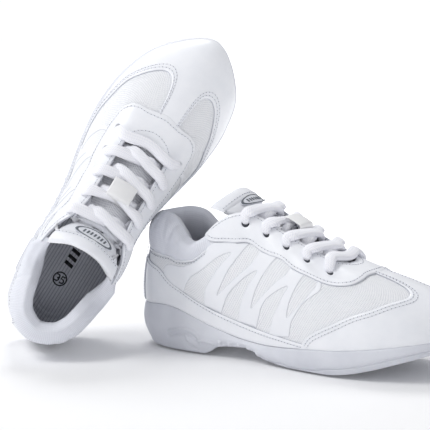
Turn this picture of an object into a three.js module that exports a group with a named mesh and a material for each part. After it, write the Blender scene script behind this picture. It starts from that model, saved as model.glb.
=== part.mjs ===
// Pair of cheer shoes: one standing, its mate leaning on the heel tab.
// Frame: mm, +Z up, +X towards the standing shoe's toe, origin on the floor under its heel pad.
import * as THREE from 'three';

// ---- driving dimensions, mm ----
const shoeLength = 242;
const shoeWidth = 82;
const toplineHeight = 90;
const liningThick = 1.6;
const overlayThick = 1.0;
const layerGap = 0.5;
const collarPadThick = 8.5;
const tongueThick = 4.0;
const laceWidth = 7.4;
const laceThick = 2.4;
const eyeletSize = 6.4;
const padThick = 2.0;
const socklinerThick = 3.2;
const heelPadMiddle = 42;
const flexX = 168;
const flexGap = 0.8;
const badgeHalf = 13.5;
const keeperWidth = 16;
const keeperLength = 14.6;
const flapX = 85.6;

// ---- mate's resting pose: heel on the floor, side against the other heel tab ----
const leanToe = new THREE.Vector3(0.3635, 0.4130, 0.835);
const leanOut = new THREE.Vector3(-0.6993, -0.4717, 0.537);
const leanOrigin = new THREE.Vector3(-75.2 - 1.6 * overlayThick, -42.8, 3.05);

const kx = shoeLength / 242;
const ky = shoeWidth / 82;
const kz = toplineHeight / 90;

const white = 0xeef0f4;
const mesh = 0xe8e9ee;
const textile = 0xd8dae2;
const foam = 0xdfe0e6;
const tread = 0xd2d4dc;
const lining = 0xb4b6c0;
const grey = 0x8a8c96;
const dark = 0x55565c;

// Stations from heel to toe tip. Feather line x, outer y, inner y, z; top line x, y, z;
// then how far the wall bulges out and rises, and how far the shoulder spreads and drops.
const stations = [
  [0, 0, 0, 26.5, 7, 0, 89, 3, 20, 3, 18],
  [4, 13.5, 13, 27.5, 12.5, 13, 90, 3, 20, 3, 18],
  [14, 23, 22, 28.5, 21.5, 19.3, 90.5, 2.5, 20, 3, 18],
  [27, 27, 26, 29.3, 31, 22.3, 88, 2, 20, 2.5, 17],
  [38, 28.5, 27.6, 28, 38.5, 24.2, 81, 1.5, 18, 2.5, 15],
  [48, 29.3, 28.2, 25, 44, 25.6, 75, 1.5, 17, 3, 13],
  [57, 29.5, 28, 21.8, 50, 26.4, 73.3, 1.5, 17, 3.5, 12],
  [66, 29.6, 27.5, 18.8, 58, 26.4, 78, 1.5, 19, 5, 13],
  [76, 29.8, 26.8, 16, 67, 25.2, 87, 1.5, 22, 6.5, 14],
  [87, 30.3, 26.4, 13.5, 76.5, 22.6, 93, 1.5, 24, 8, 14],
  [99, 31.6, 26.8, 12, 87, 17.5, 94, 1.5, 25, 11, 12],
  [112, 34, 28.3, 11.6, 99, 15, 89, 1.5, 25, 13, 9],
  [128, 37.4, 31.5, 12.6, 114, 15, 81.7, 1.5, 24, 14, 8],
  [146, 40.3, 35.5, 14.3, 130, 15, 74.3, 1.5, 23, 14, 7.5],
  [165, 41.3, 38.7, 15.8, 145, 14.5, 67.6, 1.5, 21, 15, 7.5],
  [190, 38, 39, 19.3, 150, 10.5, 65.6, 2, 19, 29, 8.3],
  [216, 25.5, 31, 23.5, 152.2, 5.2, 64.5, 3, 17, 41, 8.3],
  [237, -3.5, 3.5, 26.5, 152.6, 0, 64.4, 4, 15, 47.4, 8.4],
];
const toeTip = stations.length - 1;
const around = 2 * toeTip;

function v3(x, y, z) {
  return new THREE.Vector3(x, y, z);
}

// One closed ring of points: heel, outer side, toe, inner side.
function makeRings() {
  const feather = [];
  const top = [];
  const bulge = [];
  for (let i = 0; i < around; i += 1) {
    const outer = i <= toeTip;
    const s = stations[outer ? i : around - i];
    const side = outer ? 1 : -1;
    feather.push(v3(s[0] * kx, (outer ? s[1] : -s[2]) * ky, s[3] * kz));
    top.push(v3(s[4] * kx, side * s[5] * ky, s[6] * kz));
    bulge.push(s.slice(7));
  }
  const wall = [];
  const shoulder = [];
  for (let i = 0; i < around; i += 1) {
    const b = bulge[i];
    const w = outward(feather, i).multiplyScalar(b[0] * ky);
    const h = outward(top, i).multiplyScalar(b[2] * ky);
    wall.push(feather[i].clone().add(w).add(v3(0, 0, b[1] * kz)));
    shoulder.push(top[i].clone().add(h).add(v3(0, 0, -b[3] * kz)));
  }
  return [feather, wall, shoulder, top];
}

function outward(ring, i) {
  const a = ring[(i + around - 1) % around];
  const b = ring[(i + 1) % around];
  return v3(a.y - b.y, b.x - a.x, 0).normalize();
}

const rings = makeRings();

function onRing(ring, k) {
  const t = ((k % around) + around) % around;
  const i = Math.floor(t);
  const w = t - i;
  const p = [i + around - 1, i, i + 1, i + 2].map((n) => ring[n % around]);
  const q = v3(0, 0, 0);
  const f = [
    -w + 2 * w * w - w * w * w,
    2 - 5 * w * w + 3 * w * w * w,
    w + 4 * w * w - 3 * w * w * w,
    w * w * w - w * w,
  ];
  for (let n = 0; n < 4; n += 1) {
    q.addScaledVector(p[n], 0.5 * f[n]);
  }
  return q;
}

// The outside of the upper: k runs round the shoe, s climbs from sole to top line.
function surf(k, s) {
  const c = [(1 - s) ** 3, 3 * (1 - s) ** 2 * s, 3 * (1 - s) * s * s, s ** 3];
  const q = v3(0, 0, 0);
  for (let n = 0; n < 4; n += 1) {
    q.addScaledVector(onRing(rings[n], k), c[n]);
  }
  return q;
}

function normalAt(k, s) {
  const e = 0.002;
  const a = surf(k + e, s).sub(surf(k - e, s));
  const b = surf(k, s + e).sub(surf(k, s - e));
  return b.cross(a).normalize();
}

function at(k, s, off) {
  return surf(k, s).addScaledVector(normalAt(k, s), off);
}

function lerpTable(table) {
  return (x) => {
    if (x <= table[0][0]) return table[0][1];
    for (let i = 1; i < table.length; i += 1) {
      const [x0, y0] = table[i - 1];
      const [x1, y1] = table[i];
      if (x <= x1) return y0 + ((y1 - y0) * (x - x0)) / (x1 - x0);
    }
    return table[table.length - 1][1];
  };
}

function fold(k) {
  const t = ((k % around) + around) % around;
  return t > toeTip ? around - t : t;
}

// ---- solids ----
function solid(name, positions, faces, colour, rough) {
  let volume = 0;
  for (const [a, b, c] of faces) {
    volume += positions[a].dot(positions[b].clone().cross(positions[c]));
  }
  const index = [];
  for (const [a, b, c] of faces) {
    index.push(...(volume > 0 ? [a, b, c] : [a, c, b]));
  }
  const geometry = new THREE.BufferGeometry();
  const flat = positions.flatMap((p) => [p.x, p.y, p.z]);
  geometry.setAttribute('position', new THREE.Float32BufferAttribute(flat, 3));
  geometry.setIndex(index);
  geometry.computeVertexNormals();
  const material = new THREE.MeshStandardMaterial({ color: colour, roughness: rough, metalness: 0 });
  const body = new THREE.Mesh(geometry, material);
  body.name = name;
  return body;
}

// Two matching grids, outer and inner, joined round their rims and round any hole cells.
function shell(name, outer, inner, colour, rough, holes = []) {
  const cols = outer.length;
  const rows = outer[0].length;
  const positions = [...outer.flat(), ...inner.flat()];
  const o = (i, j) => i * rows + j;
  const n = (i, j) => cols * rows + i * rows + j;
  const open = new Set(holes.map(([i, j]) => `${i}_${j}`));
  const faces = [];
  const quad = (a, b, c, d) => faces.push([a, b, c], [a, c, d]);
  const solidCell = (i, j) => i >= 0 && j >= 0 && i < cols - 1 && j < rows - 1 && !open.has(`${i}_${j}`);
  for (let i = 0; i < cols - 1; i += 1) {
    for (let j = 0; j < rows - 1; j += 1) {
      if (!solidCell(i, j)) continue;
      quad(o(i, j), o(i + 1, j), o(i + 1, j + 1), o(i, j + 1));
      quad(n(i, j), n(i, j + 1), n(i + 1, j + 1), n(i + 1, j));
      if (!solidCell(i - 1, j)) quad(o(i, j), o(i, j + 1), n(i, j + 1), n(i, j));
      if (!solidCell(i + 1, j)) quad(o(i + 1, j + 1), o(i + 1, j), n(i + 1, j), n(i + 1, j + 1));
      if (!solidCell(i, j - 1)) quad(o(i + 1, j), o(i, j), n(i, j), n(i + 1, j));
      if (!solidCell(i, j + 1)) quad(o(i, j + 1), o(i + 1, j + 1), n(i + 1, j + 1), n(i, j + 1));
    }
  }
  return solid(name, positions, faces, colour, rough);
}

// Closed rings of points joined in order, with a fan over each end.
function loft(name, sections, colour, rough) {
  const m = sections[0].length;
  const positions = sections.flat();
  const faces = [];
  for (let i = 0; i < sections.length - 1; i += 1) {
    for (let j = 0; j < m; j += 1) {
      const a = i * m + j;
      const b = i * m + ((j + 1) % m);
      faces.push([a, b, b + m], [a, b + m, a + m]);
    }
  }
  for (const [start, flip] of [[0, true], [(sections.length - 1) * m, false]]) {
    const centre = v3(0, 0, 0);
    for (let j = 0; j < m; j += 1) centre.addScaledVector(positions[start + j], 1 / m);
    positions.push(centre);
    const c = positions.length - 1;
    for (let j = 0; j < m; j += 1) {
      const a = start + j;
      const b = start + ((j + 1) % m);
      faces.push(flip ? [c, b, a] : [c, a, b]);
    }
  }
  return solid(name, positions, faces, colour, rough);
}

// Columns shared by every panel, so stacked layers keep parallel facets.
const halfKnots = [0, 0.3, 0.6, 1, 1.5, 2, 3, 4, 5, 6, 7, 8, 9, 10, 11, 12, 13, 13.7, 14.4, 15, 15.5, 16, 16.4, 16.7];
const knots = [];
for (const k of halfKnots) {
  knots.push(k, -k, around - k, k - around);
}
knots.push(toeTip);

function columns(k0, k1, extra = [], gaps = []) {
  const inside = knots.filter((k) => k > k0 + 0.12 && k < k1 - 0.12);
  const clear = (k) => gaps.every(([a, b]) => k < a - 0.1 || k > b + 0.1);
  const kept = inside.filter((k) => clear(k) && extra.every((e) => Math.abs(e - k) > 0.12));
  const all = [k0, k1, ...kept, ...extra, ...gaps.flat()];
  return [...new Set(all)].sort((a, b) => a - b);
}

// A panel on the upper: rows is a list of functions of k giving s from bottom to top edge.
function panel(name, ks, rows, off0, off1, colour, rough, holes = []) {
  const grid = (off) => ks.map((k) => rows.map((row) => at(k, row(k), off)));
  return shell(name, grid(off1), grid(off0), colour, rough, holes);
}

function between(lo, hi, parts) {
  const rows = [];
  for (let i = 0; i <= parts; i += 1) {
    rows.push((k) => lo(k) + ((hi(k) - lo(k)) * i) / parts);
  }
  return rows;
}

// ---- seam lines, as s along k ----
const foxingTop = lerpTable([
  [0, 0.482], [0.9, 0.482], [1.7, 0.44], [2.5, 0.39], [3.46, 0.279], [4.77, 0.253], [6.04, 0.226],
  [7.67, 0.17], [9.13, 0.141], [10.59, 0.114], [11.84, 0.085], [12.6, 0.06],
]);
const collarSeam = lerpTable([
  [0, 0.5], [1, 0.51], [2.29, 0.558], [3, 0.535], [3.82, 0.563], [5.4, 0.7], [6.77, 0.76], [7.6, 0.768],
]);
const eyestayLow = lerpTable([
  [7.1, 0.93], [7.4, 0.87], [7.96, 0.78], [9.19, 0.706], [10.13, 0.699], [10.78, 0.672], [11.31, 0.671],
  [11.96, 0.69], [12.49, 0.65], [13.36, 0.643], [14.22, 0.646], [14.77, 0.68], [15.4, 0.74],
  [15.75, 0.81], [16.4, 0.84], [17, 0.848],
]);
const eyeletLine = lerpTable([
  [7.1, 0.965], [8, 0.915], [9.85, 0.867], [11.11, 0.845], [12.13, 0.84], [13.06, 0.82],
  [14.06, 0.8], [15, 0.85], [15.75, 0.92], [17, 0.94],
]);
const capEdge = lerpTable([
  [12.5, 0.012], [12.85, 0.112], [13.33, 0.182], [13.99, 0.269], [14.46, 0.342], [14.99, 0.398],
  [15.44, 0.452], [15.82, 0.5], [16.2, 0.545], [17, 0.56],
]);
const eyeletK = [14.06, 13.06, 12.13, 11.11, 9.85];
const stripK = 16.42;
const jumpK = 13.36;
const capK = 14.72;

function spacing(k, s) {
  return surf(k + 0.5, s).distanceTo(surf(k - 0.5, s));
}

function climb(k, s) {
  return surf(k, s + 0.05).distanceTo(surf(k, s - 0.05)) / 0.1;
}

function shoe(side) {
  const group = new THREE.Group();
  group.name = `${side}_shoe`;
  const add = (body) => group.add(body);
  const id = (part) => `${side}_${part}`;
  const base = [-liningThick, 0];
  const over = [layerGap, layerGap + overlayThick];

  // ---- sole ----
  const bottom = lerpTable([
    [-1.5, 14], [-0.6, 9], [1.5, 5], [5, 2.4], [10, 0.9], [16, 0.3], [24, 0], [60, 0], [64, 1.6], [69, 5.2], [76, 6.5],
    [83, 7], [93, 7.6], [101, 5.1], [106, 2.4], [113, 1.2], [119, 0.5], [128, 0], [158, 0], [166, 0.9],
    [175, 2.6], [188, 6.2], [199.5, 9.9], [219, 16.2], [232, 20.5], [238.4, 23.4],
  ]);
  // Plan outline a set distance outside the feather line: centre, half width and height at each x.
  function outline(off) {
    const ys = [[], []];
    const zs = [];
    for (let k = 0; k <= toeTip; k += 0.25) {
      [1, -1].forEach((dir, n) => {
        const p = onRing(rings[0], dir * k);
        const t = onRing(rings[0], dir * k + 0.02).sub(onRing(rings[0], dir * k - 0.02));
        const q = p.clone().addScaledVector(v3(-t.y, t.x, 0).normalize(), off);
        ys[n].push([q.x / kx, q.y]);
        if (n === 0) zs.push([q.x / kx, q.z]);
      });
    }
    const out = lerpTable(ys[0]);
    const inn = lerpTable(ys[1]);
    return {
      mid: (x) => (out(x) + inn(x)) / 2,
      half: (x) => (out(x) - inn(x)) / 2,
      z: lerpTable(zs),
    };
  }
  const wide = outline(1.6);
  const bed = outline(-3.6);
  const backEnd = -1.5;
  const tipEnd = 238.4;
  function soleSection(x) {
    const zTop = wide.z(Math.min(Math.max(x, 0.5), 236)) - layerGap;
    const zBottom = bottom(x) * kz + (padded(x) ? padThick + layerGap : 0);
    const low = Math.min(2.2, (zTop - zBottom) * 0.3);
    const flare = 1.2 * Math.min(1, (x - backEnd) / 8, (tipEnd - x) / 8);
    const c = wide.mid(x);
    const w = wide.half(x);
    const at2 = (side, d, z) => v3(x * kx, c + side * Math.max(0.8, w + d), z);
    const levels = [[0, zTop], [flare, zBottom + (zTop - zBottom) * 0.5], [-0.8, zBottom + low], [-3.4, zBottom]];
    const outer = levels.map(([d, z]) => at2(1, d, z));
    const inner = levels.map(([d, z]) => at2(-1, d, z)).reverse();
    const dish = [-0.5, 0.5].map((f) => v3(x * kx, c + f * w, zTop - 1.2));
    return [...outer, ...inner, ...dish];
  }
  const padded = (x) => x > 12 && (x < 61 || x > 103) && x < 229;
  const rearX = [11.9, 12.1, 20, 30, 42, 52, 60.9, 61.1, 69, 76, 84, 93, 102.9, 103.1, 112, 121, 132, 144, 156];
  const rearEnd = flexX - flexGap / 2;
  const frontEnd = flexX + flexGap / 2;
  const rear = [backEnd, -0.6, 1.5, 5, ...rearX, rearEnd];
  add(loft(id('midsole_rear'), rear.map(soleSection), foam, 0.7));
  const front = [frontEnd, 176, 188, 200, 212, 222, 228.9, 229.1, 234, 237, tipEnd];
  add(loft(id('midsole_front'), front.map(soleSection), foam, 0.7));
  function padSection(x) {
    const c = wide.mid(x);
    const w = Math.max(2, wide.half(x) - 4);
    const z0 = bottom(x) * kz;
    const corner = (d, z) => v3(x * kx, c + Math.sign(d) * (w - (z > z0 ? 0 : 0.8)), z);
    return [corner(1, z0 + padThick), corner(1, z0), corner(-1, z0), corner(-1, z0 + padThick)];
  }
  add(loft(id('outsole_heel'), [13, 18, 24, 42, 60].map(padSection), tread, 0.6));
  add(loft(id('outsole_ball'), [104, 106, 113, 119, 128, 143, 158, rearEnd].map(padSection), tread, 0.6));
  add(loft(id('outsole_toe'), [frontEnd, 175, 188, 199.5, 212, 219, 228].map(padSection), tread, 0.6));

  // ---- insole on the foot bed ----
  function bedSection(x) {
    const z0 = wide.z(x) + 0.1;
    const c = bed.mid(x);
    const w = Math.max(2.5, bed.half(x));
    const corner = (side, z) => v3(x * kx, c + side * w, z);
    const high = z0 + socklinerThick;
    return [corner(1, high), corner(1, z0), corner(-1, z0), corner(-1, high)];
  }
  add(loft(id('sockliner_rear'), [5.5, 8, 14, 27, 48, 66, 87, 112, 130, 146, flexX - 2].map(bedSection), grey, 0.9));
  add(loft(id('sockliner_toe'), [flexX + 2, 190, 205, 216, 224, 229].map(bedSection), grey, 0.9));

  // ---- quarters: one lined mesh panel each side, carrying the eyelets ----
  const laceUp = (k) => Math.min(0.985, eyeletLine(fold(k)));
  const half = (k) => eyeletSize / 2 / climb(k, laceUp(k));
  const holeK = eyeletK.map((k) => {
    const d = eyeletSize / 2 / spacing(k, laceUp(k));
    return [k - d, k + d];
  });
  const holeColumns = (ks) => {
    const cells = [];
    for (let i = 0; i < ks.length - 1; i += 1) {
      const mid = fold((ks[i] + ks[i + 1]) / 2);
      const width = Math.abs(ks[i + 1] - ks[i]);
      if (eyeletK.some((k) => Math.abs(k - mid) < 0.02) && width < 0.8) cells.push(i);
    }
    return cells;
  };
  for (const dir of [1, -1]) {
    const which = dir > 0 ? 'lateral' : 'medial';
    const flat = columns(0.04, 16.93, [6.98, 7.1, jumpK], holeK);
    const ks = dir > 0 ? flat : flat.map((k) => -k).reverse();
    const lo = (k) => {
      const f = fold(k);
      return f < jumpK - 0.01 ? 0.004 : eyestayLow(f) + 0.012;
    };
    const high = (k) => {
      const f = fold(k);
      return f < 7.04 ? collarSeam(f) - 0.02 : 0.992;
    };
    const holeLow = (k) => {
      const f = fold(k);
      return f < 7.04 ? lo(k) + 0.86 * (high(k) - lo(k)) : Math.max(lo(k) + 0.01, laceUp(k) - half(k));
    };
    const holeHigh = (k) => {
      const f = fold(k);
      return f < 7.04 ? lo(k) + 0.93 * (high(k) - lo(k)) : Math.min(0.982, laceUp(k) + half(k));
    };
    const rows = [...between(lo, holeLow, 3), holeHigh, high];
    const holes = holeColumns(ks).map((i) => [i, 3]);
    add(panel(id(`quarter_${which}`), ks, rows, ...base, mesh, 0.85, holes));

    // flexing vamp: side wing of the toe cap and mesh window above it
    const wing = columns(jumpK + 0.05, capK - 0.03).map((k) => k * dir).sort((a, b) => a - b);
    const low = () => 0.004;
    const cap = (k) => capEdge(fold(k));
    add(panel(id(`cap_wing_${which}`), wing, between(low, cap, 2), -liningThick, overlayThick, white, 0.4));
    const win = columns(jumpK + 0.05, stripK - 0.06).map((k) => k * dir).sort((a, b) => a - b);
    const winLow = (k) => cap(k) + 0.012;
    const winHigh = (k) => eyestayLow(fold(k)) - 0.006;
    add(panel(id(`vamp_mesh_${which}`), win, between(winLow, winHigh, 3), ...base, mesh, 0.85));
  }

  // ---- toe cap and the strip that runs up to the lacing ----
  const capLow = () => 0.004;
  const capHigh = (k) => capEdge(fold(k));
  const capKs = columns(capK, around - capK, []);
  add(panel(id('toe_cap'), capKs, between(capLow, capHigh, 4), -liningThick, overlayThick, white, 0.4));
  const stripKs = columns(stripK, around - stripK, []);
  const stripLow = (k) => capHigh(k) + 0.012;
  const stripHigh = (k) => eyestayLow(fold(k)) - 0.006;
  add(panel(id('vamp_strip'), stripKs, between(stripLow, stripHigh, 3), -liningThick, overlayThick, white, 0.4));

  // ---- overlays ----
  const foxKs = columns(-12.5, 12.5, []);
  const fox = (k) => foxingTop(fold(k));
  add(panel(id('foxing'), foxKs, between(() => 0.006, fox, 2), ...over, white, 0.4));
  const stripBack = columns(-1, 1, []);
  const backLow = (k) => fox(k) + 0.012;
  add(panel(id('heel_strip'), stripBack, between(backLow, () => 0.965, 5), ...over, white, 0.4));
  const stayHalf = columns(7.14, toeTip, [], holeK);
  const stayKs = [...stayHalf, ...stayHalf.map((k) => around - k)];
  const stay = [...new Set(stayKs)].sort((a, b) => a - b);
  const stayLow = (k) => eyestayLow(fold(k));
  const stayRows = [
    stayLow,
    (k) => Math.max(stayLow(k) + 0.01, laceUp(k) - half(k)),
    (k) => Math.min(0.985, laceUp(k) + half(k)),
    () => 1,
  ];
  const stayHoles = holeColumns(stay).map((i) => [i, 1]);
  add(panel(id('eyestay'), stay, stayRows, ...over, white, 0.4, stayHoles));

  // ---- padded collar round the ankle ----
  const collarKs = columns(-6.85, 6.85, []);
  const collar = collarKs.map((k) => {
    const lo = collarSeam(fold(k));
    const taper = Math.abs(k) > 5.5 ? 0.8 : 1;
    const deep = -collarPadThick * taper;
    const p = (t, off) => at(k, lo + (1 - lo) * t, off);
    const roll = surf(k, 1);
    return [
      p(0, 0), p(0.35, 0), p(0.7, 0), p(0.93, -0.4),
      roll.clone().add(v3(0, 0, 0.6)).addScaledVector(normalAt(k, 0.95), -2.4),
      p(0.95, deep * 0.8), p(0.7, deep), p(0.35, deep * 0.85), p(0, -3.2),
    ];
  });
  add(loft(id('collar'), collar, textile, 0.9));

  // ---- tongue ----
  const under = -(liningThick + laceThick + 1.7);
  const tongueKs = [16.2, 15.4, 14.6, 13.8, 13, 12.2, 11.4, 10.6, 9.9];
  const tongueSections = tongueKs.map((k) => {
    const t = surf(k, 1);
    const back = (p) => p.clone().add(v3(-0.35, 0, -1).normalize().multiplyScalar(tongueThick));
    const low = k > 15 ? 0.955 : 0.87;
    const a = at(k, low, under - 0.4);
    const b = at(k, 0.97, under + 0.3);
    const c = v3(t.x - 0.4, 0, t.z - 0.6);
    const flip = (p) => v3(p.x, -p.y, p.z);
    const upper = [flip(a), flip(b), c, b, a];
    return [...upper, ...upper.map(back).reverse()];
  });
  function flapSection(x, z, w, drop, sweep) {
    const upper = [-1, -0.6, 0, 0.6, 1].map((f) => {
      return v3((x - sweep * f * f) * kx, w * f * ky, (z - drop * f * f) * kz);
    });
    const away = v3(-0.7, 0, -0.72).multiplyScalar(tongueThick + 0.5);
    return [...upper, ...upper.map((p) => p.clone().add(away)).reverse()];
  }
  tongueSections.push(flapSection(flapX + 0.5, 96.2, 15.5, 6, 3));
  add(loft(id('tongue'), tongueSections, white, 0.5));
  const flap = [
    [flapX - 0.5, 97.1, 15.8, 6.2, 3.2],
    [81.5, 100.3, 20, 8.2, 5],
    [76.5, 104.2, 23.5, 9.6, 6.5],
    [69.5, 108.6, 25, 11.2, 8],
  ].map((s) => flapSection(...s));
  add(loft(id('tongue_top'), flap, white, 0.5));

  // ---- oval badge above the lacing ----
  const face = v3(0.62, 0, 0.78).normalize();
  const slope = v3(-face.z, 0, face.x);
  const badge = [1, 0].map((lift) => {
    return [-0.985, -0.85, -0.55, -0.2, 0.2, 0.55, 0.85, 0.985].map((f) => [-1, 1].map((e) => {
      const y = badgeHalf * f;
      const p = v3(80.4 * kx, y, 101.2 * kz).add(v3(-y * y * 0.011, 0, -y * y * 0.011));
      p.addScaledVector(slope, 3.4 * e * Math.sqrt(1 - f * f));
      return p.addScaledVector(face, 0.45 + lift * 0.7);
    }));
  });
  add(shell(id('tongue_badge'), badge[0], badge[1], dark, 0.5));

  // ---- lace: one cord through all ten eyelets ----
  const crown = (k) => {
    const t = surf(k, 1);
    return v3(t.x - 0.4, 0, t.z - 0.6);
  };
  const throatUp = v3(0.42, 0, 0.9).normalize();
  const path = [];
  const put = (p, up, w, t) => path.push({ p, up, w, t });
  const lift = laceThick / 2 + 0.5;
  const outside = layerGap + overlayThick + lift;
  const inside = -liningThick - lift;
  function atSide(dir, k, s, off) {
    return at(dir * k, s, off);
  }
  function overEdge(dir, k) {
    put(atSide(dir, k, 0.99, outside + 0.7), normalAt(dir * k, 0.97), laceWidth, laceThick);
  }
  function intoEyelet(dir, n) {
    const k = eyeletK[n];
    const s = laceUp(k);
    const up = normalAt(dir * k, s);
    const out = atSide(dir, k, s - 0.05, 0).sub(atSide(dir, k, s + 0.05, 0)).normalize();
    const step = 1.5 / climb(k, s);
    put(atSide(dir, k, s + 2.2 * step, outside + 0.15), up, 4.6, laceThick);
    put(atSide(dir, k, s + 0.7 * step, outside - 0.7), up.clone().add(out), 4, 2.6);
    put(atSide(dir, k, s, layerGap), out, 3.8, 2.6);
    put(atSide(dir, k, s, -liningThick), out, 3.8, 2.6);
    put(atSide(dir, k, s + 0.7 * step, inside - 0.2), up.clone().negate().add(out), 4.2, 2.4);
  }
  function run(points) {
    for (const point of points) point();
  }
  const backwards = (steps) => {
    const mark = path.length;
    steps();
    const part = path.splice(mark).reverse();
    path.push(...part);
  };
  function strand(n, dir, upper) {
    // from under the near edge, across the tongue, over the far edge, into far eyelet n
    const kE = eyeletK[n];
    const kEdge = eyeletK[n - 1] + (kE - eyeletK[n - 1]) * 0.32;
    const squeeze = n === 3 ? 0.58 : 1;
    const near = normalAt(dir * kEdge, 0.97);
    put(atSide(dir, kEdge, 0.955, inside), near.clone().negate(), 5.5, laceThick);
    put(atSide(dir, kEdge, 1.0, inside), near.clone().negate(), 6.5, laceThick);
    const steps = [0.25, 0.5, 0.75];
    const kFar = kEdge + (kE - kEdge) * 0.72;
    const a = surf(dir * kEdge, 1);
    const b = surf(-dir * kFar, 1);
    for (const f of steps) {
      const p = a.clone().lerp(b, f);
      const kc = kEdge + (kFar - kEdge) * f;
      const dome = crown(kc).z - surf(kc, 1).z + 1.1;
      const stack = upper ? [1.6, laceThick + 0.7, 2.4][Math.round(f * 4) - 1] : [0, 0, 1.4][Math.round(f * 4) - 1];
      p.addScaledVector(throatUp, dome + lift - 0.3 + stack);
      put(p, throatUp, laceWidth * squeeze, laceThick);
    }
    overEdge(-dir, kFar);
    intoEyelet(-dir, n);
  }
  function tail(dir) {
    const k = eyeletK[4];
    put(atSide(dir, k - 0.35, 0.79, inside - 1.4), normalAt(dir * k, 0.8).negate(), 5, laceThick);
    put(atSide(dir, k - 0.7, 0.66, inside - 2.4), normalAt(dir * k, 0.7).negate(), 5.5, laceThick);
    put(atSide(dir, k - 0.9, 0.5, inside - 2.4), normalAt(dir * k, 0.5).negate(), 5, laceThick);
  }
  backwards(() => {
    put(v3(surf(14.06, 1).x + 0.5, 0, surf(14.06, 1).z).addScaledVector(throatUp, 2.6), throatUp, laceWidth, laceThick);
    overEdge(1, 14.06);
    intoEyelet(1, 0);
    strand(1, 1, true);
    strand(2, -1, false);
    strand(3, 1, true);
    strand(4, -1, false);
    tail(1);
  });
  run([
    () => overEdge(-1, 14.06),
    () => intoEyelet(-1, 0),
    () => strand(1, -1, false),
    () => strand(2, 1, true),
    () => strand(3, -1, false),
    () => strand(4, 1, true),
    () => tail(-1),
  ]);
  let hold = null;
  const cord = path.map(({ p, up, w, t }, i) => {
    const before = path[Math.max(0, i - 1)].p;
    const after = path[Math.min(path.length - 1, i + 1)].p;
    const along = after.clone().sub(before).normalize();
    const across = along.clone().cross(up).normalize();
    if (hold && hold.dot(across) < 0) across.negate();
    hold = across.clone();
    const thick = across.clone().cross(along).normalize();
    const ring = [[1, 0], [0.66, 1], [-0.66, 1], [-1, 0], [-0.66, -1], [0.66, -1]];
    return ring.map(([a, b]) => p.clone().addScaledVector(across, (a * w) / 2).addScaledVector(thick, (b * t) / 2));
  });
  add(loft(id('lace'), cord, white, 0.8));
  for (const [label, i, j] of [['a', 0, 1], ['b', path.length - 1, path.length - 2]]) {
    const end = path[i].p;
    const dir = end.clone().sub(path[j].p).normalize();
    const side1 = dir.clone().cross(v3(1, 0, 0)).normalize();
    const side2 = dir.clone().cross(side1);
    const tip = [0.5, 14].map((d) => [0, 1, 2, 3, 4, 5].map((n) => {
      const p = end.clone().addScaledVector(dir, d);
      p.addScaledVector(side1, 1.5 * Math.cos((n * Math.PI) / 3));
      return p.addScaledVector(side2, 1.5 * Math.sin((n * Math.PI) / 3));
    }));
    add(loft(id(`aglet_${label}`), tip, white, 0.3));
  }

  // ---- keeper loop stitched to the tongue, its two ends before and behind the crossing laces ----
  const kk = eyeletK[2] + (eyeletK[3] - eyeletK[2]) * 0.5;
  const seat = crown(kk);
  const uphill = v3(0.9, 0, -0.42).normalize();
  const h = 2 * laceThick + 3.5;
  const reach = keeperLength / 2;
  const arch = [[-reach, 0.4], [-reach, h - 1.2], [-reach + 1.4, h], [reach - 1.4, h], [reach, h - 1.2], [reach, 0.4]];
  const shrink = [[0.8, 0], [0.8, -0.4], [0.4, -0.8], [-0.4, -0.8], [-0.8, -0.4], [-0.8, 0]];
  const place = (y, [a, z]) => seat.clone().addScaledVector(uphill, a).addScaledVector(throatUp, z).add(v3(0, y, 0));
  const loopOut = [-1, 1].map((e) => arch.map((q) => place((e * keeperWidth) / 2, q)));
  const loopIn = [-1, 1].map((e) => {
    return arch.map(([a, z], i) => place((e * keeperWidth) / 2, [a + shrink[i][0], z + shrink[i][1]]));
  });
  add(shell(id('lace_keeper'), loopOut, loopIn, white, 0.4));
  return group;
}

const group = new THREE.Group();
group.name = 'cheer_shoes';
const pair = new THREE.Group();
pair.name = 'pair';
pair.position.set(-heelPadMiddle * kx, 0, 0);
group.add(pair);
const right = shoe('right');
right.scale.set(1, -1, 1);
pair.add(right);

const left = shoe('left');
const toeDir = leanToe.clone().normalize();
const opening = toeDir.clone().cross(leanOut).normalize();
const outDir = opening.clone().cross(toeDir);
left.setRotationFromMatrix(new THREE.Matrix4().makeBasis(toeDir, outDir, opening));
left.position.copy(leanOrigin);
pair.add(left);

export default group;
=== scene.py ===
import math
import bmesh
import bpy
import numpy as np
from mathutils import Matrix, Vector
from mathutils.geometry import delaunay_2d_cdt


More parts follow.
